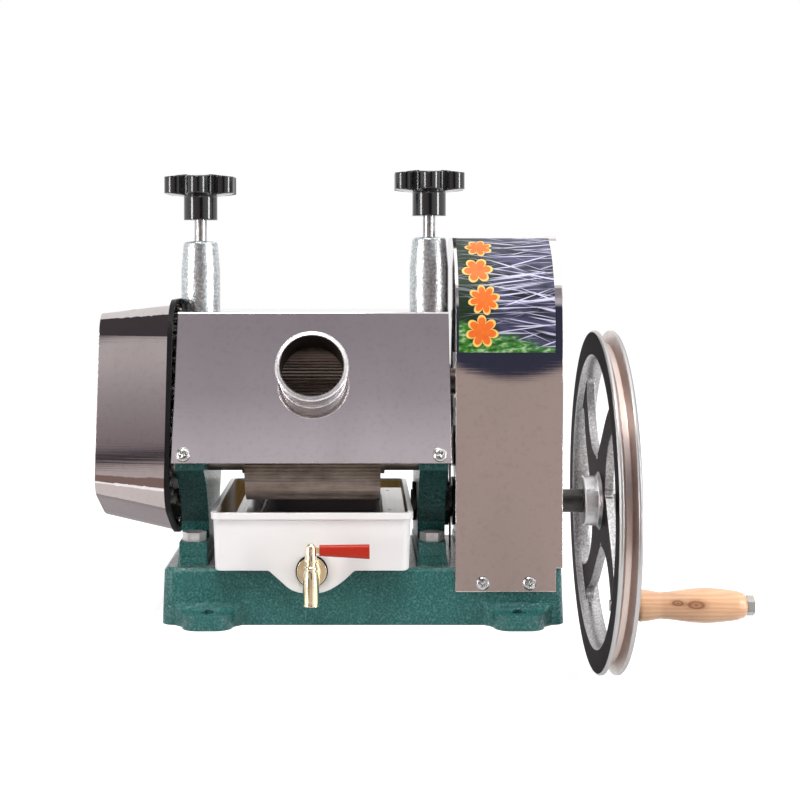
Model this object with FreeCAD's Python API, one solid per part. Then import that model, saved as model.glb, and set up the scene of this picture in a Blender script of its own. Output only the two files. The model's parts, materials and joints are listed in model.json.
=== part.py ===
import FreeCAD, Part
import math
import os

# Hand-cranked three-roller sugarcane juicer, in millimetres.
# X runs to the right as seen from the feed side, -Y points at the feed side and Z is up.
# The origin is the middle of the four foot bolt holes, on the underside of the base.

# ---------------------------------------------------------------- driving dimensions
fit = 0.04              # radial clearance of a shaft that turns in its bore
snug = 0.02             # radial clearance of a piece that is pressed or screwed in
gap = 0.3               # running gap between pieces that move past each other
sheet = 1.2             # stainless sheet of hoods and gear cover
mill_x = -45.7          # middle plane of the rollers, from the middle of the base

# cast base
base_len = 363.0
base_depth = 182.0
base_h = 51.0
base_draft = 1.8
base_corner_r = 12.0
base_edge_r = 3.0
base_wall = 8.0
base_rib_t = 7.0
foot_bolt_dx = 278.0
foot_bolt_dy = 200.0
foot_hole_d = 12.0
lug_w = 45.0
lug_t = 13.5
lug_reach = 25.0
lug_corner_r = 15.0
lug_flare = 8.0
lug_gusset = 6.0
pad_h = 8.0
pad_margin = 1.0

# uprights
upright_gap = 192.0
upright_t = 25.0
upright_foot_half = 77.0
upright_foot_t = 13.0
upright_waist_half = 50.0
upright_scoop = 10.0
upright_nose_land = 6.0
upright_top_z = 270.0
slot_half = 24.0
upright_bolt_y = 64.0
bolt_d = 12.0
bolt_af = 19.0
bolt_head_h = 8.0
bolt_len = 24.0

# rollers and their shafts
top_roller_z = 212.6
roller_spread = 44.6
roller_d = 79.0
roller_len = 123.0
flutes = 80
flute_depth = 1.3
roller_shaft_d = 25.0
roller_collar_d = 31.0
roller_collar_w = 4.0
bush_wall = 3.5
bush_flange_w = 3.0
bush_flange_rim = 4.0
lift_travel = 3.0

# roller gears behind the left cover
pressure_angle = math.radians(20.0)
drive_backlash = 0.25
roller_backlash = 0.95
module = 4.0
roller_teeth = 20
roller_gear_w = 22.0
roller_gear_hub_d = 40.0
roller_gear_hub_w = 2.5
roller_gear_gap = 4.0
gear_seat_d = 20.0
gear_flat = 7.5
shaft_nut_d = 16.0
shaft_nut_af = 24.0
shaft_nut_h = 13.0

# drive gear and pinion behind the right cover
drive_teeth = 41
pinion_teeth = 16
drive_gear_w = 24.0
drive_gear_gap = 19.0
drive_hub_d = 52.0
drive_recess = 7.0
drive_rim_t = 12.0
drive_seat_d = 24.0
drive_nut_d = 20.0
drive_nut_af = 30.0
drive_nut_h = 16.0
pinion_w = 28.0
pinion_hub_d = 40.0
pinion_hub_w = 11.0
key_w = 6.0
key_h = 6.0

# input shaft, its bearings and the outboard pedestal
input_shaft_d = 22.0
input_collar_d = 30.0
input_boss_d = 46.0
input_boss_w = 6.0
pedestal_w = 20.0
pedestal_foot_half = 38.0
pedestal_foot_t = 10.0
pedestal_boss_d = 48.0
pedestal_bolt_y = 29.0
pedestal_bolt_d = 8.0
pedestal_bolt_af = 13.0
pedestal_bolt_head_h = 5.5
pedestal_bolt_len = 18.0

# pressure towers, springs, screws and knobs
block_lip_w = 3.0
block_lip_half = 29.0
block_half_h = 26.3
tower_flange_t = 8.8
tower_flange_half_y = 42.0
tower_flange_half_x = 14.0
tower_d = 36.7
tower_top_d = 32.6
tower_taper_h = 28.0
tower_shoulder_r = 3.0
tower_top_z = (346.0, 350.0)
tower_bore_d = 26.0
tower_bore_top_z = 312.0
tower_screw_y = 34.0
tower_screw_d = 8.0
tower_screw_head_d = 13.0
tower_screw_head_h = 6.0
tower_screw_len = 20.0
spring_d = 24.0
spring_bore_d = 11.0
spring_len = 43.8
cap_d = 24.8
cap_h = 10.0
cap_pocket = 4.0
screw_d = 12.0
screw_show = 20.0
knob_hub_d = 32.0
knob_hub_h = 25.0
knob_d = 72.8
knob_rim_h = 15.5
knob_dome = 3.6
knob_lobes = 6
knob_lobe_r = 10.5
knob_valley_r = 23.0
screw_in_knob = 30.0

# hood: sloping front and rear plates
hood_side_gap = 2.1
hood_foot_y = 108.0
hood_foot_z = 148.0
hood_top_y = 53.0
hood_top_z = 280.5
hood_bend_r = 2.6
hood_return = 8.0
hood_split_y = 40.0
hood_split_gap = 0.4
hood_tower_gap = 0.5
hood_screw_inset = 10.2
hood_screw_up = 7.6
screw_head_d = 13.0
screw_head_h = 4.2
panel_screw_d = 6.0
panel_screw_len = 14.0
feed_z = 223.4
feed_bore_d = 56.6
feed_reach = 28.5
feed_inside = 3.0
feed_rim_r = 1.8
outlet_half_w = 66.0
outlet_low = 16.0
outlet_high = 64.0
chute_len = 46.0
chute_droop = math.radians(28.0)

# right gear cover
cover_gap = 7.7
cover_w = 96.1
cover_face_gap = 0.5
cover_arch_z = 263.0
cover_flange_z = 30.0
cover_flange_inset = 5.8
cover_seat = 0.3
cover_screw_x = (153.3, 195.2)
cover_screw_z = 37.6
cover_shaft_gap = 4.5
cover_input_gap = 3.0

# left gear cover
pan_depth = 66.9
pan_inset = 12.0
pan_rise = 3.3
pan_sheet = 1.0
pan_top_z = 290.0
pan_top_half = 67.6
pan_top_r = 40.0
pan_side_z = 111.5
pan_side_half = 106.7
pan_side_r = 34.0
pan_foot_z = 59.3
pan_foot_r = 107.0
trim_lip = 1.3
trim_inner = 3.2
trim_w = 4.4
trim_hold = 3.0
post_d = 10.0
post_places = ((-58.0, 208.0), (58.0, 208.0), (0.0, 106.0))

# juice tray, strainer and tap
tray_side_gap = 7.5
tray_overhang = 12.0
tray_back_y = 127.0
tray_h = 51.7
tray_wall = 2.5
tray_draft = 1.8
tray_corner_r = 8.0
tray_bottom_r = 4.0
tray_rim = 2.0
tray_rim_h = 6.0
tray_lift = 0.3
sump_half_w = 36.0
sump_throat_half = 26.0
sump_z = 30.8
sump_gap = 0.6
tap_z = 51.2
tap_washer_d = 28.7
tap_washer_t = 2.5
tap_flange_d = 26.4
tap_flange_t = 2.6
tap_thread_d = 12.0
tap_nut_af = 21.0
tap_nut_t = 4.0
tap_reach = 23.0
tap_arm_d = 10.0
tap_spout_z = 25.0
tap_spout_d = 14.6
tap_shoulder_z = 42.0
tap_neck_z = 56.5
tap_neck_d = 10.4
tap_collar_d = 12.4
tap_collar_h = 2.5
tap_barrel_top_z = 63.0
tap_spout_bore_d = 8.0
tap_plug_d = 8.0
tap_cap_d = 11.4
tap_dome_d = 9.6
tap_dome_z = 80.0
lever_z = 73.6
lever_t = 3.0
lever_h = 6.0
sleeve_start = 7.4
sleeve_len = 44.0
sleeve_h = 9.6
sleeve_end_h = 12.8
sleeve_t = 7.0
strainer_t = 1.0
strainer_floor_z = 78.0
strainer_wing_drop = 2.0
strainer_half_w = 75.6
strainer_wing_w = 21.0
strainer_slope_w = 6.0
strainer_side_gap = 2.5
strainer_front_gap = 2.0
strainer_len = 163.0
strainer_foot_w = 14.0
strainer_hole_d = 3.2

# handwheel and grip
wheel_d = 325.0
wheel_rim_w = 20.4
wheel_rim_x = 264.5
wheel_rim_depth = 24.0
groove_w = 13.0
groove_floor_w = 5.4
groove_depth = 12.5
wheel_edge = 1.5
wheel_web_t = 8.0
wheel_hub_d = 47.5
wheel_hub_x = 254.5
wheel_hub_w = 23.0
wheel_bore_d = 20.0
spokes = 4
spoke_w = 27.0
spoke_root = 14.5
spoke_sweep = math.radians(20.0)
spoke_start_r = 44.0
spoke_first = math.radians(208.5)
window_corner_r = 9.0
window_tip = 4.0
wheel_washer_d = 36.0
wheel_washer_t = 2.5
wheel_nut_af = 30.0
wheel_nut_h = 9.5
grip_radius = 120.0
grip_angle = math.radians(222.8)
grip_boss_d = 27.0
grip_boss_w = 12.8
grip_bolt_d = 10.0
grip_bolt_af = 16.0
grip_bolt_head_h = 6.4
grip_bolt_tail = 3.2
grip_len = 98.5
grip_end_d = 29.0
grip_neck_d = 23.6
grip_neck_at = 21.0
grip_belly_d = 31.8
grip_belly_at = 62.0
grip_tip_d = 22.0

# ---------------------------------------------------------------- derived sizes
V = FreeCAD.Vector
X_AXIS = V(1, 0, 0)
Y_AXIS = V(0, 1, 0)
Z_AXIS = V(0, 0, 1)

upright_in = upright_gap / 2
upright_out = upright_in + upright_t
upright_mid = upright_in + upright_t / 2
pad_top_z = base_h + pad_h
foot_top_z = pad_top_z + upright_foot_t

gear_ratio_distance = module * roller_teeth
roller_drop = math.sqrt(gear_ratio_distance ** 2 - roller_spread ** 2)
low_roller_z = top_roller_z - roller_drop
input_z = top_roller_z - module * (drive_teeth + pinion_teeth) / 2
bush_r = roller_shaft_d / 2 + bush_wall
input_bush_r = input_shaft_d / 2 + bush_wall
slot_floor_z = top_roller_z - block_half_h - gap
block_top_z = top_roller_z + block_half_h

hood_w = 2 * (upright_out + hood_side_gap + sheet)
hood_screw_x = hood_w / 2 - hood_screw_inset
hood_rise = math.hypot(hood_foot_y - hood_top_y, hood_top_z - hood_foot_z)
hood_sin = (hood_foot_y - hood_top_y) / hood_rise
hood_cos = (hood_top_z - hood_foot_z) / hood_rise

left_gear_x = -(upright_out + roller_gear_gap + roller_gear_hub_w)
left_gear_end_x = left_gear_x - roller_gear_w
drive_gear_x = upright_out + drive_gear_gap
drive_gear_end_x = drive_gear_x + drive_gear_w
pinion_x = drive_gear_x - (pinion_w - drive_gear_w) / 2
pinion_end_x = pinion_x + pinion_w + pinion_hub_w
pedestal_x = pinion_end_x + gap + bush_flange_w
wheel_hub_end_x = wheel_hub_x + wheel_hub_w
wheel_nut_x = wheel_hub_end_x + wheel_washer_t
input_end_x = wheel_nut_x + wheel_nut_h
web_x = wheel_rim_x + (wheel_rim_w - wheel_web_t) / 2
grip_y = grip_radius * math.cos(grip_angle)
grip_z = input_z + grip_radius * math.sin(grip_angle)
grip_boss_end_x = web_x + wheel_web_t + grip_boss_w
grip_x = grip_boss_end_x + gap
grip_end_x = grip_x + grip_len

cover_x = upright_out + cover_gap
cover_end_x = cover_x + cover_w
cover_half_y = base_depth / 2 + cover_face_gap
trim_start = max(hood_w / 2, upright_mid + tower_d / 2) + gap
pan_start = trim_start + trim_w - trim_hold
spring_z = block_top_z + gap
cap_z = spring_z + spring_len + gap
screw_tip_z = cap_z + cap_h - cap_pocket + gap
tray_floor_z = base_h + tray_lift
tray_top_z = tray_floor_z + tray_h
tray_half_w = upright_in - tray_side_gap
tray_front_y = -base_depth / 2 - tray_overhang
sump_back_y = -base_depth / 2 - sump_gap
tap_axis_y = tray_front_y - tap_reach
wing_z = tray_top_z - strainer_wing_drop
strainer_x = mill_x + tray_half_w - tray_wall - strainer_side_gap - strainer_half_w
strainer_front_y = tray_front_y + tray_wall + strainer_front_gap
strainer_back_y = strainer_front_y + strainer_len


# ---------------------------------------------------------------- shape helpers
def box(x0, x1, y0, y1, z0, z1):
    return Part.makeBox(x1 - x0, y1 - y0, z1 - z0, V(x0, y0, z0))


def rod_x(radius, x0, x1, y, z):
    return Part.makeCylinder(radius, x1 - x0, V(x0, y, z), X_AXIS)


def rod_y(radius, y0, y1, x, z):
    return Part.makeCylinder(radius, y1 - y0, V(x, y0, z), Y_AXIS)


def rod_z(radius, z0, z1, x, y):
    return Part.makeCylinder(radius, z1 - z0, V(x, y, z0), Z_AXIS)


def joined(shapes):
    """One solid from pieces that overlap or share faces."""
    whole = shapes[0].multiFuse(shapes[1:]) if len(shapes) > 1 else shapes[0]
    return whole.removeSplitter()


def along(shape, base, axis):
    """Stand a shape that was built up +Z from the origin on a base point, along an axis."""
    placed = shape.copy()
    placed.Placement = FreeCAD.Placement(base, FreeCAD.Rotation(Z_AXIS, axis))
    return placed


def in_yz(x):
    return lambda a, b: V(x, a, b)


def in_xz(y):
    return lambda a, b: V(a, y, b)


def in_xy(z):
    return lambda a, b: V(a, b, z)


def outline(corners, radii, place):
    """Closed wire through the corners, each rounded by its own radius."""
    count = len(corners)
    arcs = []
    for i in range(count):
        here = V(corners[i][0], corners[i][1], 0)
        back = V(corners[i - 1][0], corners[i - 1][1], 0) - here
        ahead = V(corners[(i + 1) % count][0], corners[(i + 1) % count][1], 0) - here
        back.normalize()
        ahead.normalize()
        half = back.getAngle(ahead) / 2
        cut = radii[i] / math.tan(half)
        inward = back + ahead
        inward.normalize()
        middle = here + inward * (radii[i] / math.sin(half) - radii[i])
        arcs.append((here + back * cut, middle, here + ahead * cut))
    edges = []
    for i in range(count):
        start, middle, end = arcs[i]
        following = arcs[(i + 1) % count][0]
        if radii[i] > 0:
            edges.append(Part.Arc(place(start.x, start.y), place(middle.x, middle.y),
                                  place(end.x, end.y)).toShape())
        if end.distanceToPoint(following) > 1e-6:
            edges.append(Part.LineSegment(place(end.x, end.y),
                                          place(following.x, following.y)).toShape())
    return Part.Wire(edges)


def inset_corners(corners, inset):
    """Corners of a closed convex outline, moved in by one distance from every side."""
    moved = []
    for i in range(len(corners)):
        here = V(corners[i][0], corners[i][1], 0)
        back = V(corners[i - 1][0], corners[i - 1][1], 0) - here
        ahead = V(corners[(i + 1) % len(corners)][0], corners[(i + 1) % len(corners)][1], 0) - here
        back.normalize()
        ahead.normalize()
        inward = back + ahead
        inward.normalize()
        point = here + inward * (inset / math.sin(back.getAngle(ahead) / 2))
        moved.append((point.x, point.y))
    return moved


def strip(path, radii, thickness, place):
    """Face of a bent sheet: the path is one surface, the sheet lies on its left."""
    points = [V(p[0], p[1], 0) for p in path]
    runs = [points[i + 1] - points[i] for i in range(len(points) - 1)]
    for run in runs:
        run.normalize()
    normals = [V(-run.y, run.x, 0) for run in runs]

    def side(offset):
        edges = []
        start = points[0] + normals[0] * offset
        for i in range(1, len(points) - 1):
            radius = radii[i - 1]
            turn = runs[i - 1].getAngle(runs[i])
            left = 1.0 if runs[i - 1].cross(runs[i]).z > 0 else -1.0
            cut = radius * math.tan(turn / 2)
            first = points[i] - runs[i - 1] * cut
            centre = first + normals[i - 1] * (left * radius)
            towards = points[i] - centre
            towards.normalize()
            enter = first + normals[i - 1] * offset
            middle = centre + towards * (radius - left * offset)
            leave = points[i] + runs[i] * cut + normals[i] * offset
            if start.distanceToPoint(enter) > 1e-6:
                edges.append(Part.LineSegment(place(start.x, start.y),
                                              place(enter.x, enter.y)).toShape())
            edges.append(Part.Arc(place(enter.x, enter.y), place(middle.x, middle.y),
                                  place(leave.x, leave.y)).toShape())
            start = leave
        end = points[-1] + normals[-1] * offset
        edges.append(Part.LineSegment(place(start.x, start.y), place(end.x, end.y)).toShape())
        return edges, end

    near, near_end = side(0.0)
    far, far_end = side(thickness)
    far_start = points[0] + normals[0] * thickness
    closing = Part.LineSegment(place(near_end.x, near_end.y),
                               place(far_end.x, far_end.y)).toShape()
    opening = Part.LineSegment(place(far_start.x, far_start.y),
                               place(points[0].x, points[0].y)).toShape()
    return Part.Face(Part.Wire(near + [closing] + far[::-1] + [opening]))


def rectangle(x0, x1, y0, y1):
    return [(x0, y0), (x1, y0), (x1, y1), (x0, y1)]


def tapered_box(low, high, z0, z1, low_r, high_r):
    """Box with rounded corners whose sides lean between two rectangles."""
    wires = [outline(rectangle(*low), [low_r] * 4, in_xy(z0)),
             outline(rectangle(*high), [high_r] * 4, in_xy(z1))]
    return Part.makeLoft(wires, True, True)


def turned(profile, base, axis):
    """Solid of revolution: the profile gives (radius, height) up the axis from the base."""
    points = [V(r, 0, h) for r, h in profile]
    face = Part.Face(Part.makePolygon(points + [points[0]]))
    return along(face.revolve(V(0, 0, 0), Z_AXIS, 360), base, axis)


def hexagon(across_flats, height):
    radius = across_flats / math.sqrt(3)
    points = [V(radius * math.cos(math.pi * i / 3), radius * math.sin(math.pi * i / 3), 0)
              for i in range(6)]
    return Part.Face(Part.makePolygon(points + [points[0]])).extrude(V(0, 0, height))


def hex_nut(across_flats, height, bore_d, base, axis):
    nut = hexagon(across_flats, height).cut(Part.makeCylinder(bore_d / 2 + snug, height))
    return along(nut, base, axis)


def hex_bolt(across_flats, head_h, diameter, length, base, axis):
    """Bolt whose head sits on the base point, with its shank going back along the axis."""
    shank = Part.makeCylinder(diameter / 2, length, V(0, 0, -length))
    return along(joined([hexagon(across_flats, head_h), shank]), base, axis)


def pan_screw(base, axis, head_d=screw_head_d, head_h=screw_head_h):
    """Pan head screw whose head sits on the base point."""
    radius = head_d / 2
    shank_r = panel_screw_d / 2
    crown = [(radius * share, head_h * (1 - 0.65 * share ** 2)) for share in (1, 0.8, 0.45)]
    return turned([(0, -panel_screw_len), (shank_r, -panel_screw_len), (shank_r, 0),
                   (radius, 0)] + crown + [(0, crown[-1][1])], base, axis)


def hood_point(up, inward):
    """Front hood section: up the slope from its lower edge, and inward from its outer face."""
    y = -hood_foot_y + up * hood_sin + inward * hood_cos
    z = hood_foot_z + up * hood_cos - inward * hood_sin
    return y, z


def hood_outward(rear):
    return V(0, hood_cos if rear else -hood_cos, hood_sin)


def at_hood(x, up, inward, rear):
    y, z = hood_point(up, inward)
    return V(mill_x + x, -y if rear else y, z)


def mirrored_y(shape):
    return shape.mirror(V(0, 0, 0), Y_AXIS)


# ---------------------------------------------------------------- base
def foot_lug(sx, sy):
    """Lug with a flared root and a gusset that runs up the wall of the base."""
    x = sx * foot_bolt_dx / 2
    face = base_depth / 2
    half = lug_w / 2
    root = face - lug_gusset / 2
    tip = face + lug_reach
    plan = [(-half - lug_flare, root), (half + lug_flare, root), (half + lug_flare, face),
            (half, face + lug_flare), (half, tip), (-half, tip), (-half, face + lug_flare),
            (-half - lug_flare, face)]
    flare_r = lug_flare * 0.9
    radii = [0, 0, 0, flare_r, lug_corner_r, lug_corner_r, flare_r, 0]
    plan_face = Part.Face(outline(plan, radii, in_xy(0)))
    plate = plan_face.extrude(V(0, 0, lug_t))
    top = lug_t + lug_gusset
    knee = face + lug_gusset * 0.35
    section = [V(0, root, 0), V(0, face + lug_gusset, 0), V(0, face + lug_gusset, lug_t),
               V(0, knee, lug_t + lug_gusset * 0.35), V(0, face, top), V(0, root, top)]
    wedge = Part.Face(Part.makePolygon(section + [section[0]])).extrude(
        V(lug_w + 2 * lug_flare, 0, 0))
    wedge.translate(V(-half - lug_flare, 0, 0))
    gusset = wedge.common(plan_face.extrude(V(0, 0, top)))
    lug = joined([plate, gusset])
    if sy < 0:
        lug = mirrored_y(lug)
    lug.translate(V(x, 0, 0))
    return lug


def base_casting():
    half_x = base_len / 2
    half_y = base_depth / 2
    low = (-half_x, half_x, -half_y, half_y)
    high = (-half_x + base_draft, half_x - base_draft, -half_y + base_draft, half_y - base_draft)
    edge = base_edge_r
    crown = (high[0] + edge, high[1] - edge, high[2] + edge, high[3] - edge)
    body = joined([tapered_box(low, high, 0, base_h - edge, base_corner_r, base_corner_r),
                   tapered_box(high, crown, base_h - edge, base_h, base_corner_r,
                               base_corner_r - edge)])
    lugs = [foot_lug(sx, sy) for sx in (-1, 1) for sy in (-1, 1)]
    pad_half_x = upright_t / 2 + pad_margin
    pad_half_y = upright_foot_half + pad_margin
    pads = []
    for side in (-1, 1):
        x = mill_x + side * upright_mid
        pads.append(tapered_box((x - pad_half_x - pad_margin, x + pad_half_x + pad_margin,
                                 -pad_half_y - pad_margin, pad_half_y + pad_margin),
                                (x - pad_half_x, x + pad_half_x, -pad_half_y, pad_half_y),
                                base_h - base_edge_r, pad_top_z, 3.0, 3.0))
    body = joined([body] + lugs + pads)
    inner = base_wall
    hollow = tapered_box((low[0] + inner, low[1] - inner, low[2] + inner, low[3] - inner),
                         (high[0] + inner, high[1] - inner, high[2] + inner, high[3] - inner),
                         -0.01, base_h - base_wall, base_corner_r / 2, base_corner_r / 2)
    for rib_x in (mill_x - upright_mid, mill_x, mill_x + upright_mid):
        hollow = hollow.cut(box(rib_x - base_rib_t / 2, rib_x + base_rib_t / 2,
                                -half_y, half_y, base_h / 4, base_h))
    body = body.cut(hollow)
    holes = [rod_z(foot_hole_d / 2, -1, lug_t + 1, sx * foot_bolt_dx / 2, sy * foot_bolt_dy / 2)
             for sx in (-1, 1) for sy in (-1, 1)]
    holes += [rod_z(bolt_d / 2 + snug, foot_top_z - bolt_len - 1, pad_top_z + 1, x, y)
              for x, y in upright_bolt_places()]
    holes += [rod_z(pedestal_bolt_d / 2 + snug, base_h - pedestal_bolt_len, base_h + 1, x, y)
              for x, y in pedestal_bolt_places()]
    for x in cover_screw_x:
        holes.append(rod_y(panel_screw_d / 2 + snug, -half_y - 1, half_y + 1,
                           mill_x + x, cover_screw_z))
    return body.cut(Part.makeCompound(holes))


# ---------------------------------------------------------------- uprights and bearings
def upright_bolt_places():
    return [(mill_x + side * upright_mid, end * upright_bolt_y)
            for side in (-1, 1) for end in (-1, 1)]


def upright_outline(x):
    seat = sheet + gap / 2
    nose_y, nose_z = hood_point(0, seat)
    top_up = (upright_top_z - hood_foot_z + seat * hood_sin) / hood_cos
    top_y = hood_point(top_up, seat)[0]
    land_z = nose_z - upright_nose_land
    waist = V(x, -upright_waist_half, foot_top_z)
    nose = V(x, nose_y, land_z)
    chord = nose - waist
    push = V(0, chord.z, -chord.y)
    push.normalize()
    scoop = (waist + nose) * 0.5 + push * upright_scoop
    front = [V(x, -upright_foot_half, pad_top_z), V(x, -upright_foot_half, foot_top_z), waist]
    slope = [nose, V(x, nose_y, nose_z), V(x, top_y, upright_top_z)]

    def over(point):
        return V(point.x, -point.y, point.z)

    edges = [Part.LineSegment(front[0], front[1]).toShape(),
             Part.LineSegment(front[1], front[2]).toShape(),
             Part.Arc(waist, scoop, nose).toShape(),
             Part.LineSegment(slope[0], slope[1]).toShape(),
             Part.LineSegment(slope[1], slope[2]).toShape(),
             Part.LineSegment(slope[2], over(slope[2])).toShape(),
             Part.LineSegment(over(slope[2]), over(slope[1])).toShape(),
             Part.LineSegment(over(slope[1]), over(slope[0])).toShape(),
             Part.Arc(over(nose), over(scoop), over(waist)).toShape(),
             Part.LineSegment(over(front[2]), over(front[1])).toShape(),
             Part.LineSegment(over(front[1]), over(front[0])).toShape(),
             Part.LineSegment(over(front[0]), front[0]).toShape()]
    return Part.Face(Part.Wire(edges))


def upright(side):
    """Upright of one side, -1 left or 1 right, with its slot, bores and tapped holes."""
    x0 = mill_x + (upright_in if side > 0 else -upright_out)
    x1 = x0 + upright_t
    middle = (x0 + x1) / 2
    body = upright_outline(x0).extrude(V(upright_t, 0, 0))
    if side > 0:
        body = joined([body, rod_x(input_boss_d / 2, x1 - 1, x1 + input_boss_w, 0, input_z)])
    cuts = [box(x0 - 1, x1 + 1, -slot_half, slot_half, slot_floor_z, upright_top_z + 1)]
    for end in (-1, 1):
        cuts.append(rod_x(bush_r + snug, x0 - 1, x1 + 1, end * roller_spread, low_roller_z))
        cuts.append(rod_z(bolt_d / 2 + gap, pad_top_z - 1, foot_top_z + 1, middle,
                          end * upright_bolt_y))
        cuts.append(rod_z(tower_screw_d / 2 + snug,
                          upright_top_z + tower_flange_t - tower_screw_len - 1,
                          upright_top_z + 1, middle, end * tower_screw_y))
        hole = Part.makeCylinder(panel_screw_d / 2 + snug, panel_screw_len + 2)
        cuts.append(along(hole, at_hood(side * hood_screw_x, hood_screw_up, -1, end > 0),
                          hood_outward(end > 0) * -1))
    if side > 0:
        cuts.append(rod_x(input_bush_r + snug, x0 - 1, x1 + input_boss_w + 1, 0, input_z))
    return body.cut(Part.makeCompound(cuts))


def flanged_bush(bore_d, outer_r, x0, x1, y, z, flange_at_start):
    """Bronze bush along X with a flange outside one end."""
    if flange_at_start:
        flange = rod_x(outer_r + bush_flange_rim, x0 - bush_flange_w, x0, y, z)
    else:
        flange = rod_x(outer_r + bush_flange_rim, x1, x1 + bush_flange_w, y, z)
    body = joined([rod_x(outer_r, x0, x1, y, z), flange])
    bore = rod_x(bore_d / 2 + fit, x0 - bush_flange_w - 1, x1 + bush_flange_w + 1, y, z)
    return body.cut(bore)


def lower_bushes():
    bushes = []
    for end in (-1, 1):
        y = end * roller_spread
        bushes.append(flanged_bush(roller_shaft_d, bush_r, mill_x - upright_out,
                                   mill_x - upright_in, y, low_roller_z, True))
        bushes.append(flanged_bush(roller_shaft_d, bush_r, mill_x + upright_in,
                                   mill_x + upright_out, y, low_roller_z, False))
    return Part.makeCompound(bushes)


def input_bushes():
    inner = flanged_bush(input_shaft_d, input_bush_r, mill_x + upright_in,
                         mill_x + upright_out + input_boss_w, 0, input_z, True)
    outer = flanged_bush(input_shaft_d, input_bush_r, mill_x + pedestal_x,
                         mill_x + pedestal_x + pedestal_w, 0, input_z, True)
    return Part.makeCompound([inner, outer])


def upright_bolts():
    return Part.makeCompound([hex_bolt(bolt_af, bolt_head_h, bolt_d, bolt_len,
                                       V(x, y, foot_top_z), Z_AXIS)
                              for x, y in upright_bolt_places()])


def pedestal_bolt_places():
    x = mill_x + pedestal_x + pedestal_w / 2
    return [(x, -pedestal_bolt_y), (x, pedestal_bolt_y)]


def bearing_pedestal():
    """Outboard bearing of the input shaft: a foot, a waisted column and a round boss."""
    x0 = mill_x + pedestal_x
    x1 = x0 + pedestal_w
    boss_r = pedestal_boss_d / 2
    foot_top = base_h + pedestal_foot_t
    column = [(-boss_r * 0.8, foot_top - 1), (boss_r * 0.8, foot_top - 1),
              (boss_r * 0.86, input_z), (-boss_r * 0.86, input_z)]
    body = joined([
        box(x0, x1, -pedestal_foot_half, pedestal_foot_half, base_h, foot_top),
        Part.Face(outline(column, [0] * 4, in_yz(x0))).extrude(V(pedestal_w, 0, 0)),
        rod_x(boss_r, x0, x1, 0, input_z)])
    cuts = [rod_x(input_bush_r + snug, x0 - 1, x1 + 1, 0, input_z)]
    cuts += [rod_z(pedestal_bolt_d / 2 + gap, base_h - 1, foot_top + 1, x, y)
             for x, y in pedestal_bolt_places()]
    return body.cut(Part.makeCompound(cuts))


def pedestal_bolts():
    return Part.makeCompound([hex_bolt(pedestal_bolt_af, pedestal_bolt_head_h, pedestal_bolt_d,
                                       pedestal_bolt_len, V(x, y, base_h + pedestal_foot_t), Z_AXIS)
                              for x, y in pedestal_bolt_places()])


# ---------------------------------------------------------------- gears
def gear_blank(teeth, phase, backlash, x0, x1, y, z):
    """Involute spur gear along X. The phase is the direction of one tooth, from +Y towards +Z."""
    pitch_r = module * teeth / 2
    base_r = pitch_r * math.cos(pressure_angle)
    tip_r = pitch_r + module
    root_r = pitch_r - 1.25 * module
    start_r = max(base_r, root_r)

    def involute(angle):
        return math.tan(angle) - angle

    def half_tooth(radius):
        at_pitch = (math.pi * module / 2 - backlash) / (2 * pitch_r)
        return at_pitch + involute(pressure_angle) - involute(math.acos(base_r / radius))

    def polar(radius, angle):
        return V(x0, y + radius * math.cos(angle), z + radius * math.sin(angle))

    def flank(middle, sign):
        radii = (start_r, (start_r + tip_r) / 2, tip_r)
        return [polar(r, middle + sign * half_tooth(r)) for r in radii]

    edges = []
    step = 2 * math.pi / teeth
    for i in range(teeth):
        middle = phase + i * step
        rising = flank(middle, -1)
        falling = flank(middle, 1)
        root_in = polar(root_r, middle - half_tooth(start_r))
        root_out = polar(root_r, middle + half_tooth(start_r))
        root_next = polar(root_r, middle + step - half_tooth(start_r))
        if start_r > root_r:
            edges.append(Part.LineSegment(root_in, rising[0]).toShape())
        edges.append(Part.Arc(*rising).toShape())
        edges.append(Part.LineSegment(rising[2], falling[2]).toShape())
        edges.append(Part.Arc(*falling[::-1]).toShape())
        if start_r > root_r:
            edges.append(Part.LineSegment(falling[0], root_out).toShape())
        edges.append(Part.LineSegment(root_out, root_next).toShape())
    return Part.Face(Part.Wire(edges)).extrude(V(x1 - x0, 0, 0))


def mating_phase(phase, teeth, towards, mate_teeth):
    """Phase that puts a tooth space of the mating gear on the tooth that points at it."""
    return towards + math.pi - teeth / mate_teeth * (phase - towards) - math.pi / mate_teeth


towards_front = math.atan2(-roller_drop, -roller_spread)
towards_rear = math.atan2(-roller_drop, roller_spread)
towards_input = -math.pi / 2
top_phase = towards_front


def d_seat(clearance):
    """D-shaped seat of a roller gear along X, about the axis of its shaft."""
    length = roller_gear_w + roller_gear_hub_w
    start = left_gear_x + roller_gear_hub_w - length
    round_bar = rod_x(gear_seat_d / 2 + clearance, mill_x + start, mill_x + start + length, 0, 0)
    flat = box(mill_x + start - 1, mill_x + start + length + 1, -gear_seat_d, gear_seat_d,
               gear_flat + clearance, gear_seat_d)
    return round_bar.cut(flat)


def roller_gear(phase, y, z):
    x0 = mill_x + left_gear_end_x
    x1 = mill_x + left_gear_x
    hub = rod_x(roller_gear_hub_d / 2, x1 - 1, x1 + roller_gear_hub_w, y, z)
    seat = d_seat(snug)
    seat.translate(V(0, y, z))
    return joined([gear_blank(roller_teeth, phase, roller_backlash, x0, x1, y, z), hub]).cut(seat)


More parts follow.
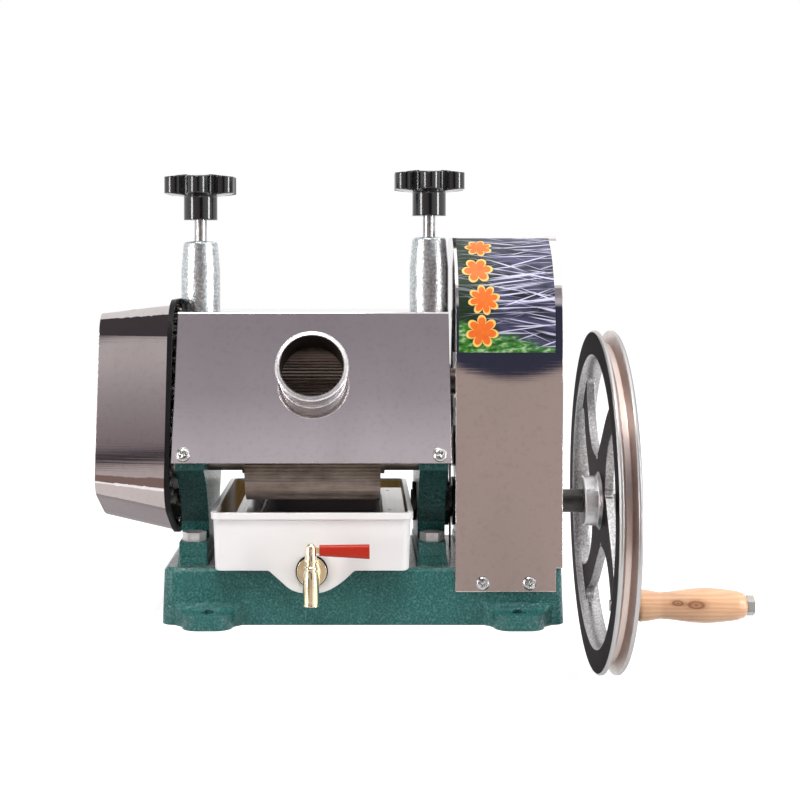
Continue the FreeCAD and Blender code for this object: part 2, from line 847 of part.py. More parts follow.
def drive_gear():
    x0 = mill_x + drive_gear_x
    x1 = mill_x + drive_gear_end_x
    blank = gear_blank(drive_teeth, towards_input, drive_backlash, x0, x1, 0, top_roller_z)
    outer = module * drive_teeth / 2 - 1.25 * module - drive_rim_t
    hub = drive_hub_d / 2
    for start, end in ((x0 - 1, x0 + drive_recess), (x1 - drive_recess, x1 + 1)):
        ring = rod_x(outer, start, end, 0, top_roller_z).cut(
            rod_x(hub, start, end, 0, top_roller_z))
        blank = blank.cut(ring)
    bore = joined([rod_x(drive_seat_d / 2 + snug, x0 - 1, x1 + 1, 0, top_roller_z),
                   key_bar(x0 - 1, x1 + 1, drive_seat_d, top_roller_z, snug)])
    return blank.cut(bore)


def key_bar(x0, x1, shaft_d, z, clearance):
    """Parallel key on top of a shaft along X."""
    middle = z + shaft_d / 2
    return box(x0, x1, -key_w / 2 - clearance, key_w / 2 + clearance,
               middle - key_h / 2 - clearance, middle + key_h / 2 + clearance)


def pinion():
    x0 = mill_x + pinion_x
    x1 = x0 + pinion_w
    end = mill_x + pinion_end_x
    phase = mating_phase(towards_input, drive_teeth, towards_input, pinion_teeth)
    body = joined([gear_blank(pinion_teeth, phase, drive_backlash, x0, x1, 0, input_z),
                   rod_x(pinion_hub_d / 2, x1 - 1, end, 0, input_z)])
    bore = joined([rod_x(input_shaft_d / 2 + snug, x0 - 1, end + 1, 0, input_z),
                   key_bar(x0 - 1, end + 1, input_shaft_d, input_z, snug)])
    return body.cut(bore)


# ---------------------------------------------------------------- rollers
def roller(y, z, right_end, drive_end):
    """Fluted roller with its shaft. The right end is plain, or carries the drive gear."""
    half = roller_len / 2
    points = []
    for i in range(2 * flutes):
        radius = roller_d / 2 - (flute_depth if i % 2 else 0)
        angle = math.pi * i / flutes
        points.append(V(mill_x - half, y + radius * math.cos(angle), z + radius * math.sin(angle)))
    barrel = Part.Face(Part.makePolygon(points + [points[0]])).extrude(V(roller_len, 0, 0))
    shoulder = left_gear_x + roller_gear_hub_w
    thread_start = left_gear_end_x
    thread_end = thread_start - shaft_nut_h - 3
    collar = half + roller_collar_w
    seat = d_seat(0)
    seat.translate(V(0, y, z))
    pieces = [barrel,
              rod_x(roller_collar_d / 2, mill_x - collar, mill_x + collar, y, z),
              rod_x(roller_shaft_d / 2, mill_x + shoulder, mill_x + right_end, y, z),
              seat,
              rod_x(shaft_nut_d / 2, mill_x + thread_end, mill_x + thread_start + 1, y, z)]
    if drive_end:
        pieces.append(rod_x(drive_seat_d / 2, mill_x + right_end - 1, mill_x + drive_gear_end_x,
                            y, z))
        pieces.append(rod_x(drive_nut_d / 2, mill_x + drive_gear_end_x - 1,
                            mill_x + drive_gear_end_x + drive_nut_h + 2, y, z))
    solid = joined(pieces)
    if drive_end:
        solid = solid.cut(key_bar(mill_x + drive_gear_x, mill_x + drive_gear_end_x,
                                  drive_seat_d, z, snug))
    return solid


def roller_nut(y, z):
    return hex_nut(shaft_nut_af, shaft_nut_h, shaft_nut_d,
                   V(mill_x + left_gear_end_x, y, z), X_AXIS * -1)


def drive_nut():
    return hex_nut(drive_nut_af, drive_nut_h, drive_nut_d,
                   V(mill_x + drive_gear_end_x, 0, top_roller_z), X_AXIS)


def drive_key():
    return key_bar(mill_x + drive_gear_x + snug, mill_x + drive_gear_end_x - snug,
                   drive_seat_d, top_roller_z, 0)


# ---------------------------------------------------------------- top roller carriage
def bearing_block(side):
    """Bearing block of the top roller: it slides in the slot of its upright between lips."""
    x0 = mill_x + (upright_in if side > 0 else -upright_out) - gap
    x1 = x0 + upright_t + 2 * gap
    z0 = top_roller_z - block_half_h
    body = joined([box(x0, x1, -slot_half + gap, slot_half - gap, z0, block_top_z),
                   box(x0 - block_lip_w, x0, -block_lip_half, block_lip_half, z0, block_top_z),
                   box(x1, x1 + block_lip_w, -block_lip_half, block_lip_half, z0, block_top_z)])
    return body.cut(rod_x(bush_r + snug, x0 - block_lip_w - 1, x1 + block_lip_w + 1,
                          0, top_roller_z))


def top_bushes():
    bushes = []
    for side in (-1, 1):
        x0 = mill_x + (upright_in if side > 0 else -upright_out) - gap - block_lip_w
        x1 = x0 + upright_t + 2 * gap + 2 * block_lip_w
        bushes.append(rod_x(bush_r, x0, x1, 0, top_roller_z).cut(
            rod_x(roller_shaft_d / 2 + fit, x0 - 1, x1 + 1, 0, top_roller_z)))
    return Part.makeCompound(bushes)


def pressure_spring(side):
    x = mill_x + side * upright_mid
    return rod_z(spring_d / 2, spring_z, spring_z + spring_len, x, 0).cut(
        rod_z(spring_bore_d / 2, spring_z - 1, spring_z + spring_len + 1, x, 0))


def thrust_cap(side):
    x = mill_x + side * upright_mid
    return rod_z(cap_d / 2, cap_z, cap_z + cap_h, x, 0).cut(
        rod_z(screw_d / 2 + gap, cap_z + cap_h - cap_pocket, cap_z + cap_h + 1, x, 0))


# ---------------------------------------------------------------- towers, screws, knobs
def tower(side):
    """Pressure tower: a bolted flange under the roof and a tapered barrel above it."""
    x = mill_x + side * upright_mid
    top_z = tower_top_z[0 if side < 0 else 1]
    flange_top = upright_top_z + tower_flange_t
    taper_z = top_z - tower_taper_h
    shoulder = tower_shoulder_r
    barrel = turned([(0, upright_top_z), (tower_d / 2, upright_top_z), (tower_d / 2, taper_z),
                     (tower_top_d / 2, top_z - shoulder),
                     (tower_top_d / 2 - shoulder * 0.3, top_z - shoulder * 0.3),
                     (tower_top_d / 2 - shoulder, top_z), (0, top_z)], V(x, 0, 0), Z_AXIS)
    plate = outline(rectangle(x - tower_flange_half_x, x + tower_flange_half_x,
                              -tower_flange_half_y, tower_flange_half_y),
                    [5.0] * 4, in_xy(upright_top_z))
    body = joined([barrel, Part.Face(plate).extrude(V(0, 0, tower_flange_t))])
    cuts = [rod_z(tower_bore_d / 2, upright_top_z - 1, tower_bore_top_z, x, 0),
            rod_z(screw_d / 2 + fit, tower_bore_top_z - 1, top_z + 1, x, 0)]
    cuts += [rod_z(tower_screw_d / 2 + gap, upright_top_z - 1, flange_top + 1, x,
                   end * tower_screw_y) for end in (-1, 1)]
    cuts += [rod_z(tower_screw_head_d / 2 + gap, flange_top - tower_screw_head_h,
                   flange_top + 1, x, end * tower_screw_y) for end in (-1, 1)]
    return body.cut(Part.makeCompound(cuts))


def tower_screws():
    screws = []
    seat = upright_top_z + tower_flange_t - tower_screw_head_h
    for side in (-1, 1):
        for end in (-1, 1):
            x = mill_x + side * upright_mid
            y = end * tower_screw_y
            screws.append(joined([
                rod_z(tower_screw_head_d / 2, seat, seat + tower_screw_head_h, x, y),
                rod_z(tower_screw_d / 2, seat + tower_screw_head_h - tower_screw_len,
                      seat + 1, x, y)]))
    return Part.makeCompound(screws)


def knob_base_z(side):
    return tower_top_z[0 if side < 0 else 1] + screw_show


def pressure_screw(side):
    x = mill_x + side * upright_mid
    return rod_z(screw_d / 2, screw_tip_z, knob_base_z(side) + screw_in_knob, x, 0)


def star_knob(side):
    """Star knob: lobes round a domed head, on a round hub."""
    x = mill_x + side * upright_mid
    z0 = knob_base_z(side)
    head_z = z0 + knob_hub_h
    lobe_at = knob_d / 2 - knob_lobe_r
    edges = []
    step = 2 * math.pi / knob_lobes
    join = math.radians(100.0)

    def polar(radius, angle):
        return V(x + radius * math.cos(angle), radius * math.sin(angle), 0)

    def on_lobe(middle, turn):
        centre = polar(lobe_at, middle)
        return V(centre.x + knob_lobe_r * math.cos(middle + turn),
                 centre.y + knob_lobe_r * math.sin(middle + turn), 0)

    for i in range(knob_lobes):
        middle = -math.pi / 2 + i * step
        edges.append(Part.Arc(on_lobe(middle, -join), on_lobe(middle, 0),
                              on_lobe(middle, join)).toShape())
        edges.append(Part.Arc(on_lobe(middle, join), polar(knob_valley_r, middle + step / 2),
                              on_lobe(middle + step, -join)).toShape())
    rim_r = knob_d / 2
    star = Part.Face(Part.Wire(edges)).extrude(V(0, 0, knob_rim_h + 2 * knob_dome))
    star.translate(V(0, 0, head_z - knob_dome))
    dome = [(rim_r * share, knob_dome * (1 - share ** 2)) for share in (0.45, 0.8, 1.05)]
    lens = turned([(0, head_z - dome[0][1])] + [(r, head_z - h) for r, h in dome]
                  + [(r, head_z + knob_rim_h + h) for r, h in reversed(dome)]
                  + [(0, head_z + knob_rim_h + dome[0][1])], V(x, 0, 0), Z_AXIS)
    head = star.common(lens)
    body = joined([head, rod_z(knob_hub_d / 2, z0, head_z + knob_rim_h / 2, x, 0)])
    return body.cut(rod_z(screw_d / 2 + snug, z0 - 1, z0 + screw_in_knob + 1, x, 0))


# ---------------------------------------------------------------- hood and feed tube
def hood_screw_places():
    return [(side * hood_screw_x, rear) for side in (-1, 1) for rear in (False, True)]


def hood_screws():
    return Part.makeCompound([pan_screw(at_hood(x, hood_screw_up, 0, rear), hood_outward(rear))
                              for x, rear in hood_screw_places()])


def hood_shell(roof_end):
    """Front plate folded into the roof, with a short return down each side of the slope."""
    x0 = mill_x - hood_w / 2
    path = [hood_point(0, 0), (-hood_top_y, hood_top_z), (roof_end, hood_top_z)]
    skin = strip(path, [hood_bend_r], -sheet, in_yz(x0)).extrude(V(hood_w, 0, 0))
    side = strip([hood_point(0, 0), hood_point(hood_rise - hood_return, 0)], [], -hood_return,
                 in_yz(x0)).extrude(V(sheet, 0, 0))
    other = side.copy()
    other.translate(V(hood_w - sheet, 0, 0))
    return joined([skin, side, other])


def hood_screw_holes(rear):
    holes = []
    for side in (-1, 1):
        hole = Part.makeCylinder(panel_screw_d / 2 + gap, 4 * sheet)
        holes.append(along(hole, at_hood(side * hood_screw_x, hood_screw_up, 2 * sheet, rear),
                           hood_outward(rear)))
    return holes


def feed_base(outward):
    """Point on the feed axis, by its distance outside the face of the front plate."""
    up = (feed_z - hood_foot_z) / hood_cos
    return at_hood(0, up, -outward, False)


def front_hood():
    body = hood_shell(hood_split_y - hood_split_gap)
    hole = Part.makeCylinder(feed_bore_d / 2 + sheet + snug, 4 * sheet)
    cuts = [along(hole, feed_base(-2 * sheet), hood_outward(False))]
    cuts += hood_screw_holes(False)
    cuts += [rod_z(tower_d / 2 + hood_tower_gap, hood_top_z - 2 * sheet, hood_top_z + 1,
                   mill_x + side * upright_mid, 0) for side in (-1, 1)]
    return body.cut(Part.makeCompound(cuts))


def feed_tube():
    """Tube with a rolled rim at its mouth."""
    radius = feed_bore_d / 2
    wall = radius + sheet
    end = feed_reach + feed_inside
    roll = feed_rim_r
    profile = [(radius, 0), (wall, 0), (wall, end - 2 * roll), (wall + 1.4 * roll, end - 1.7 * roll),
               (wall + 2 * roll, end - 1.0 * roll), (wall + 1.4 * roll, end - 0.3 * roll),
               (wall, end), (radius, end)]
    return turned(profile, feed_base(-feed_inside), hood_outward(False))


def rear_hood():
    """Rear plate with the outlet for pressed cane and its three-sided chute."""
    plate = mirrored_y(hood_shell(-hood_split_y))
    x0 = mill_x - outlet_half_w
    corners = [at_hood(-outlet_half_w, up, depth, True)
               for up, depth in ((outlet_low, -2), (outlet_low, 4), (outlet_high, 4),
                                 (outlet_high, -2))]
    window = Part.Face(Part.makePolygon(corners + [corners[0]])).extrude(
        V(2 * outlet_half_w, 0, 0))
    plate = plate.cut(window)
    lip = at_hood(0, outlet_low, 0.5 * sheet, True)
    top = at_hood(0, outlet_high, 0.5 * sheet, True)
    tip = V(0, lip.y + chute_len * math.cos(chute_droop), lip.z - chute_len * math.sin(chute_droop))
    floor = strip([(lip.y, lip.z), (tip.y, tip.z)], [], sheet, in_yz(x0 - sheet)).extrude(
        V(2 * outlet_half_w + 2 * sheet, 0, 0))
    cheek_points = [V(0, lip.y, lip.z), V(0, tip.y, tip.z), V(0, tip.y, tip.z + chute_len * 0.35),
                    V(0, top.y, top.z)]
    cheek = Part.Face(Part.makePolygon(cheek_points + [cheek_points[0]])).extrude(V(sheet, 0, 0))
    left = cheek.copy()
    left.translate(V(x0 - sheet, 0, 0))
    right = cheek.copy()
    right.translate(V(x0 + 2 * outlet_half_w, 0, 0))
    body = joined([plate, floor, left, right])
    return body.cut(Part.makeCompound(hood_screw_holes(True)))


# ---------------------------------------------------------------- right gear cover
def gear_cover():
    """Arched cover: one wrapped sheet with a plate at each side, slotted for the shafts."""
    x0 = mill_x + cover_x
    x1 = mill_x + cover_end_x
    top = cover_arch_z + cover_half_y
    path = [(-cover_half_y, cover_flange_z), (-cover_half_y, top), (cover_half_y, top),
            (cover_half_y, cover_flange_z)]
    wrap = strip(path, [cover_half_y] * 2, -sheet, in_yz(x0)).extrude(V(cover_w, 0, 0))
    plate_z = base_h + cover_seat
    for sy in (-1, 1):
        notch_y = sorted((sy * (cover_half_y - 2 * sheet), sy * (cover_half_y + 1)))
        wrap = wrap.cut(box(x1 - cover_flange_inset, x1 + 1, notch_y[0], notch_y[1],
                            cover_flange_z - 1, plate_z))
    inner = cover_half_y - sheet / 2
    arch = [(-inner, plate_z), (inner, plate_z), (inner, cover_arch_z + inner),
            (-inner, cover_arch_z + inner)]
    pieces = [wrap]
    for start, half, shaft_z in ((x0, roller_shaft_d / 2 + cover_shaft_gap, top_roller_z),
                                 (x1 - sheet, input_shaft_d / 2 + cover_input_gap, input_z)):
        plate = Part.Face(outline(arch, [0, 0, inner, inner], in_yz(start))).extrude(
            V(sheet, 0, 0))
        slot = [box(start - 1, start + sheet + 1, -half, half, plate_z - 1, shaft_z),
                rod_x(half, start - 1, start + sheet + 1, 0, shaft_z)]
        pieces.append(plate.cut(joined(slot)))
    body = joined(pieces)
    holes = [rod_y(panel_screw_d / 2 + gap, -cover_half_y - 1, cover_half_y + 1,
                   mill_x + x, cover_screw_z) for x in cover_screw_x]
    return body.cut(Part.makeCompound(holes))


def gear_cover_screws():
    screws = []
    for x in cover_screw_x:
        for sy in (-1, 1):
            screws.append(pan_screw(V(mill_x + x, sy * cover_half_y, cover_screw_z),
                                    V(0, sy, 0)))
    return Part.makeCompound(screws)


# ---------------------------------------------------------------- left gear cover
def pan_outline(inset, rise, x):
    """Outline of the left cover: leaning sides, round shoulders and a bellied foot."""
    corners = [(0, pan_foot_z), (pan_side_half, pan_side_z), (pan_top_half, pan_top_z),
               (-pan_top_half, pan_top_z), (-pan_side_half, pan_side_z)]
    radii = [pan_foot_r, pan_side_r, pan_top_r, pan_top_r, pan_side_r]
    moved = [(y, z + rise) for y, z in inset_corners(corners, inset)]
    return outline(moved, [radius - inset for radius in radii], in_yz(mill_x + x))


def pan_solid(inset, start, end):
    """Tapered block of the left cover between two stations, inset all round."""
    def section(x):
        share = (-x - pan_start) / pan_depth
        return pan_outline(inset + pan_inset * share, pan_rise * share, x)
    return Part.makeLoft([section(start), section(end)], True, True)


def left_cover():
    end = -(pan_start + pan_depth)
    shell = pan_solid(0, -pan_start, end).cut(
        pan_solid(pan_sheet, -pan_start + 1, end + pan_sheet))
    holes = [rod_x(panel_screw_d / 2 + gap, mill_x + end - 1, mill_x + end + pan_sheet + 1, y, z)
             for y, z in post_places]
    return shell.cut(Part.makeCompound(holes))


def left_cover_trim():
    """Rubber edge strip on the open rim of the left cover."""
    x1 = -trim_start
    x0 = x1 - trim_w

    def ring(outside, inside, start, end):
        outer = Part.Face(pan_outline(-outside, 0, start)).extrude(V(end - start, 0, 0))
        inner = Part.Face(pan_outline(inside, 0, start - 1)).extrude(V(end - start + 2, 0, 0))
        return outer.cut(inner)

    groove_in = pan_sheet + (pan_inset + pan_rise) * trim_hold / pan_depth + 2 * snug
    groove = ring(2 * snug, groove_in, x0 - 1, -pan_start + snug)
    return ring(trim_lip, trim_inner, x0, x1).cut(groove)


def cover_posts():
    end = -(pan_start + pan_depth) + pan_sheet
    posts = []
    for y, z in post_places:
        post = rod_x(post_d / 2, mill_x + end, mill_x - upright_out, y, z)
        posts.append(post.cut(rod_x(panel_screw_d / 2 + snug, mill_x + end - 1,
                                    mill_x + end + panel_screw_len, y, z)))
    return Part.makeCompound(posts)


def left_cover_screws():
    x = mill_x - pan_start - pan_depth
    return Part.makeCompound([pan_screw(V(x, y, z), X_AXIS * -1) for y, z in post_places])


# ---------------------------------------------------------------- juice tray and strainer
def tray_rect(half_w, front, back):
    return (mill_x - half_w, mill_x + half_w, front, back)


def sump_block(inset, y0, y1):
    """Tongue under the front of the tray that carries the tap, as seen from the front."""
    half = sump_half_w - inset
    throat = sump_throat_half - inset
    low = sump_z + inset
    top = tray_floor_z + tray_wall
    knee_z = tray_floor_z - (tray_floor_z - sump_z) * 0.45
    points = [(-half - 4, tray_floor_z), (-half, tray_floor_z - 2), (-throat - 2, knee_z),
              (0, low)]
    place = in_xz(y0)

    def at(x, z):
        return place(mill_x + x, z)

    left = Part.BSplineCurve()
    left.interpolate([at(*p) for p in points], InitialTangent=V(1, 0, 0), FinalTangent=V(1, 0, 0))
    right = Part.BSplineCurve()
    right.interpolate([at(-p[0], p[1]) for p in reversed(points)],
                      InitialTangent=V(1, 0, 0), FinalTangent=V(1, 0, 0))
    outer = points[0][0]
    edges = [left.toShape(), right.toShape(),
             Part.LineSegment(at(-outer, tray_floor_z), at(-outer, top)).toShape(),
             Part.LineSegment(at(-outer, top), at(outer, top)).toShape(),
             Part.LineSegment(at(outer, top), at(outer, tray_floor_z)).toShape()]
    return Part.Face(Part.Wire(edges)).extrude(V(0, y1 - y0, 0))


def juice_tray():
    """Drafted tray with a stepped rim, and the tongue at its front that carries the tap."""
    low_back = tray_back_y - tray_draft
    low_half = tray_half_w - tray_draft
    outer = tapered_box(tray_rect(low_half, tray_front_y, low_back),
                        tray_rect(tray_half_w, tray_front_y, tray_back_y),
                        tray_floor_z, tray_top_z, tray_corner_r, tray_corner_r)
    rim_rect = tray_rect(tray_half_w + tray_rim, tray_front_y - tray_rim, tray_back_y + tray_rim)
    rim_r = tray_corner_r + tray_rim
    rim = tapered_box(rim_rect, rim_rect, tray_top_z - tray_rim_h, tray_top_z, rim_r, rim_r)
    sump = sump_block(0, tray_front_y, sump_back_y)
    body = joined([round_bottom(outer), rim, sump])
    inner = tapered_box(tray_rect(low_half - tray_wall, tray_front_y + tray_wall,
                                  low_back - tray_wall),
                        tray_rect(tray_half_w - tray_wall, tray_front_y + tray_wall,
                                  tray_back_y - tray_wall),
                        tray_floor_z + tray_wall, tray_top_z + 0.01,
                        tray_corner_r - tray_wall, tray_corner_r - tray_wall)
    well = sump_block(tray_wall, tray_front_y + tray_wall, sump_back_y - tray_wall)
    hole = rod_y(tap_thread_d / 2 + snug, tray_front_y - 2, tray_front_y + 2 * tray_wall,
                 mill_x, tap_z)
    return body.cut(inner).cut(well).cut(hole)


def round_bottom(block):
    """Round the two long lower edges of the tray."""
    half = tray_half_w + 1
    corners = [(mill_x - half, tray_top_z + 1), (mill_x - half, tray_floor_z),
               (mill_x + half, tray_floor_z), (mill_x + half, tray_top_z + 1)]
    soft = tray_draft + 1 + tray_bottom_r
    section = Part.Face(outline(corners, [0, soft, soft, 0], in_xz(tray_front_y - 1)))
    return block.common(section.extrude(V(0, tray_back_y - tray_front_y + 2, 0)))


def strainer():
    """Sheet trough with a wing along each side, standing on the feet of its end walls."""
    half_top = strainer_half_w - strainer_wing_w
    half_floor = half_top - strainer_slope_w
    path = [(-strainer_half_w, wing_z), (-half_top, wing_z), (-half_floor, strainer_floor_z),
            (half_floor, strainer_floor_z), (half_top, wing_z), (strainer_half_w, wing_z)]
    face = strip([(strainer_x + x, z) for x, z in path], [2.0] * 4, strainer_t,
                 in_xz(strainer_front_y))
    body = face.extrude(V(0, strainer_len, 0))
    foot_z = tray_floor_z + tray_wall
    walls = []
    for y in (strainer_front_y, strainer_back_y - strainer_t):
        corners = [(-half_floor, foot_z), (-half_floor + strainer_foot_w, foot_z),
                   (-half_floor + strainer_foot_w, strainer_floor_z),
                   (half_floor - strainer_foot_w, strainer_floor_z),
                   (half_floor - strainer_foot_w, foot_z), (half_floor, foot_z),
                   (half_floor, strainer_floor_z), (half_top, wing_z + strainer_t / 2),
                   (-half_top, wing_z + strainer_t / 2), (-half_floor, strainer_floor_z)]
        points = [V(strainer_x + x, y, z) for x, z in corners]
        walls.append(Part.Face(Part.makePolygon(points + [points[0]])).extrude(
            V(0, strainer_t, 0)))
    holes = [rod_z(strainer_hole_d / 2, wing_z - 1, wing_z + strainer_t + 1,
                   strainer_x + side * (strainer_half_w - strainer_wing_w * 0.65),
                   end) for side in (-1, 1)
             for end in (strainer_front_y + strainer_wing_w, strainer_back_y - strainer_wing_w)]
    return joined([body] + walls).cut(Part.makeCompound(holes))


# ---------------------------------------------------------------- tap
def tap_washer():
    disc = rod_y(tap_washer_d / 2, tray_front_y - tap_washer_t, tray_front_y, mill_x, tap_z)
    return disc.cut(rod_y(tap_thread_d / 2 + snug, tray_front_y - tap_washer_t - 1,
                          tray_front_y + 1, mill_x, tap_z))


def tap_nut():
    y0 = tray_front_y + tray_wall
    return hex_nut(tap_nut_af, tap_nut_t, tap_thread_d, V(mill_x, y0, tap_z), Y_AXIS)


def tap_body():
    """Brass tap: flange, arm, and a bell-shaped spout with a collared neck for the plug."""
    face_y = tray_front_y - tap_washer_t
    flange_y = face_y - tap_flange_t
    tail_y = tray_front_y + tray_wall + tap_nut_t + 1
    spout = tap_spout_d / 2
    neck = tap_neck_d / 2
    bell_h = tap_neck_z - tap_shoulder_z
    collar = tap_collar_d / 2
    collar_z = tap_neck_z + tap_collar_h
    bell = [(neck + (spout - neck) * math.cos(turn), tap_shoulder_z + bell_h * math.sin(turn))
            for turn in (0.0, math.radians(30.0), math.radians(60.0), math.radians(90.0))]
    parts = [rod_y(tap_flange_d / 2, flange_y, face_y, mill_x, tap_z),
             rod_y(tap_thread_d / 2, face_y - 1, tail_y, mill_x, tap_z),
             rod_y(tap_arm_d / 2, tap_axis_y, flange_y + 1, mill_x, tap_z),
             turned([(0, tap_spout_z), (spout, tap_spout_z), (spout - 0.3, tap_spout_z + 2)]
                    + bell + [(collar, tap_neck_z + 0.5), (collar, collar_z),
                              (neck, collar_z + 1), (neck, tap_barrel_top_z),
                              (0, tap_barrel_top_z)], V(mill_x, tap_axis_y, 0), Z_AXIS)]
    body = joined(parts)
    plug_foot = tap_z - tap_arm_d / 2 + 1
    cuts = [rod_z(tap_spout_bore_d / 2 - 1, tap_spout_z - 1, plug_foot + 1, mill_x, tap_axis_y),
            rod_z(tap_plug_d / 2 + fit, plug_foot, tap_barrel_top_z + 1, mill_x, tap_axis_y),
            rod_y(tap_plug_d / 4, tap_axis_y, tail_y + 1, mill_x, tap_z)]
    return body.cut(joined(cuts))


def tap_lever():
    """Plug with its domed head and the flat lever that carries the sleeve."""
    plug_foot = tap_z - tap_arm_d / 2 + 1 + gap
    head_z = tap_barrel_top_z + gap
    radius = tap_dome_d / 2
    ball_z = tap_dome_z - radius
    parts = [rod_z(tap_plug_d / 2, plug_foot, head_z + 1, mill_x, tap_axis_y),
             turned([(0, head_z), (tap_cap_d / 2, head_z), (tap_cap_d / 2, head_z + 1.5),
                     (radius, lever_z - lever_h / 2), (radius, ball_z),
                     (radius * 0.87, ball_z + radius * 0.5),
                     (radius * 0.5, ball_z + radius * 0.87), (0, ball_z + radius * 0.87)],
                    V(mill_x, tap_axis_y, 0), Z_AXIS),
             box(mill_x, mill_x + sleeve_start + sleeve_len - 4, tap_axis_y - lever_t / 2,
                 tap_axis_y + lever_t / 2, lever_z - lever_h / 2, lever_z + lever_h / 2)]
    return joined(parts).cut(rod_y(tap_plug_d / 4, tap_axis_y - radius, tap_axis_y + radius,
                                   mill_x, tap_z))


def lever_sleeve():
    """Vinyl sleeve over the lever, deeper at its closed outer end."""
    x0 = mill_x + sleeve_start
    x1 = x0 + sleeve_len
    half_t = sleeve_t / 2

    def section(x, height, droop):
        corners = [(tap_axis_y - half_t, lever_z - height / 2 - droop),
                   (tap_axis_y + half_t, lever_z - height / 2 - droop),
                   (tap_axis_y + half_t, lever_z + height / 2 - droop),
                   (tap_axis_y - half_t, lever_z + height / 2 - droop)]
        return outline(corners, [3.0] * 4, in_yz(x))

    droop = (sleeve_end_h - sleeve_h) / 3
    body = Part.makeLoft([section(x0, sleeve_h, 0), section(x1, sleeve_end_h, droop)], True, True)
    slot = box(x0 - 1, x1 - 4 + snug, tap_axis_y - lever_t / 2 - snug, tap_axis_y + lever_t / 2 + snug,
               lever_z - lever_h / 2 - snug, lever_z + lever_h / 2 + snug)
    return body.cut(slot)


# ---------------------------------------------------------------- input shaft and handwheel
def input_shaft():
    start = upright_in - bush_flange_w - 1.5
    pieces = [rod_x(input_shaft_d / 2, mill_x + start, mill_x + wheel_hub_x, 0, input_z),
              rod_x(input_collar_d / 2, mill_x + upright_out + input_boss_w + gap,
                    mill_x + pinion_x, 0, input_z),
              rod_x(wheel_bore_d / 2, mill_x + wheel_hub_x - 1, mill_x + input_end_x, 0, input_z)]
    cuts = [key_bar(mill_x + pinion_x, mill_x + pinion_x + pinion_w, input_shaft_d, input_z, snug),
            key_bar(mill_x + wheel_hub_x, mill_x + wheel_hub_end_x, wheel_bore_d, input_z, snug)]
    return joined(pieces).cut(Part.makeCompound(cuts))


def input_keys():
    return Part.makeCompound([
        key_bar(mill_x + pinion_x + snug, mill_x + pinion_x + pinion_w - snug,
                input_shaft_d, input_z, 0),
        key_bar(mill_x + wheel_hub_x + snug, mill_x + wheel_hub_end_x - snug,
                wheel_bore_d, input_z, 0)])


def spoke_edge(radius, spoke, side):
    """Angle of one edge of a swept spoke, which widens towards the hub, at a radius."""
    rim_r = wheel_d / 2 - wheel_rim_depth
    travel = max(0.0, (radius - spoke_start_r) / (rim_r - spoke_start_r))
    middle = spoke_first + spoke * 2 * math.pi / spokes + spoke_sweep * travel ** 1.5
    half = spoke_w / 2 + spoke_root * math.exp((spoke_start_r - radius) / spoke_root)
    return middle + side * math.asin(half / radius)


def wheel_window(index):
    """Opening between two spokes: pointed towards the hub, rounded at the rim."""
    rim_r = wheel_d / 2 - wheel_rim_depth - 2.0
    steps = [spoke_start_r + (rim_r - spoke_start_r) * share for share in (0, 0.1, 0.25, 0.5, 1)]
    x0 = mill_x + wheel_rim_x - 1

    def polar(radius, angle):
        return V(x0, radius * math.cos(angle), input_z + radius * math.sin(angle))

    first = [polar(r, spoke_edge(r, index, 1)) for r in steps]
    second = [polar(r, spoke_edge(r, index + 1, -1)) for r in reversed(steps)]
    rim_mid = (spoke_edge(rim_r, index, 1) + spoke_edge(rim_r, index + 1, -1)) / 2
    tip_mid = (spoke_edge(steps[0], index, 1) + spoke_edge(steps[0], index + 1, -1)) / 2
    sides = []
    for points in (first, second):
        curve = Part.BSplineCurve()
        curve.interpolate(points)
        sides.append(curve.toShape())
    wire = Part.Wire([sides[0], Part.Arc(first[-1], polar(rim_r, rim_mid), second[0]).toShape(),
                      sides[1], Part.Arc(second[-1], polar(steps[0] - window_tip, tip_mid),
                                         first[0]).toShape()])
    window = Part.Face(wire).extrude(V(wheel_rim_w + 2, 0, 0))
    corners = [edge for edge in window.Edges
               if abs(edge.BoundBox.XLength - wheel_rim_w - 2) < 0.01
               and math.hypot(edge.CenterOfMass.y, edge.CenterOfMass.z - input_z) > rim_r - 2]
    return window.makeFillet(window_corner_r, corners)


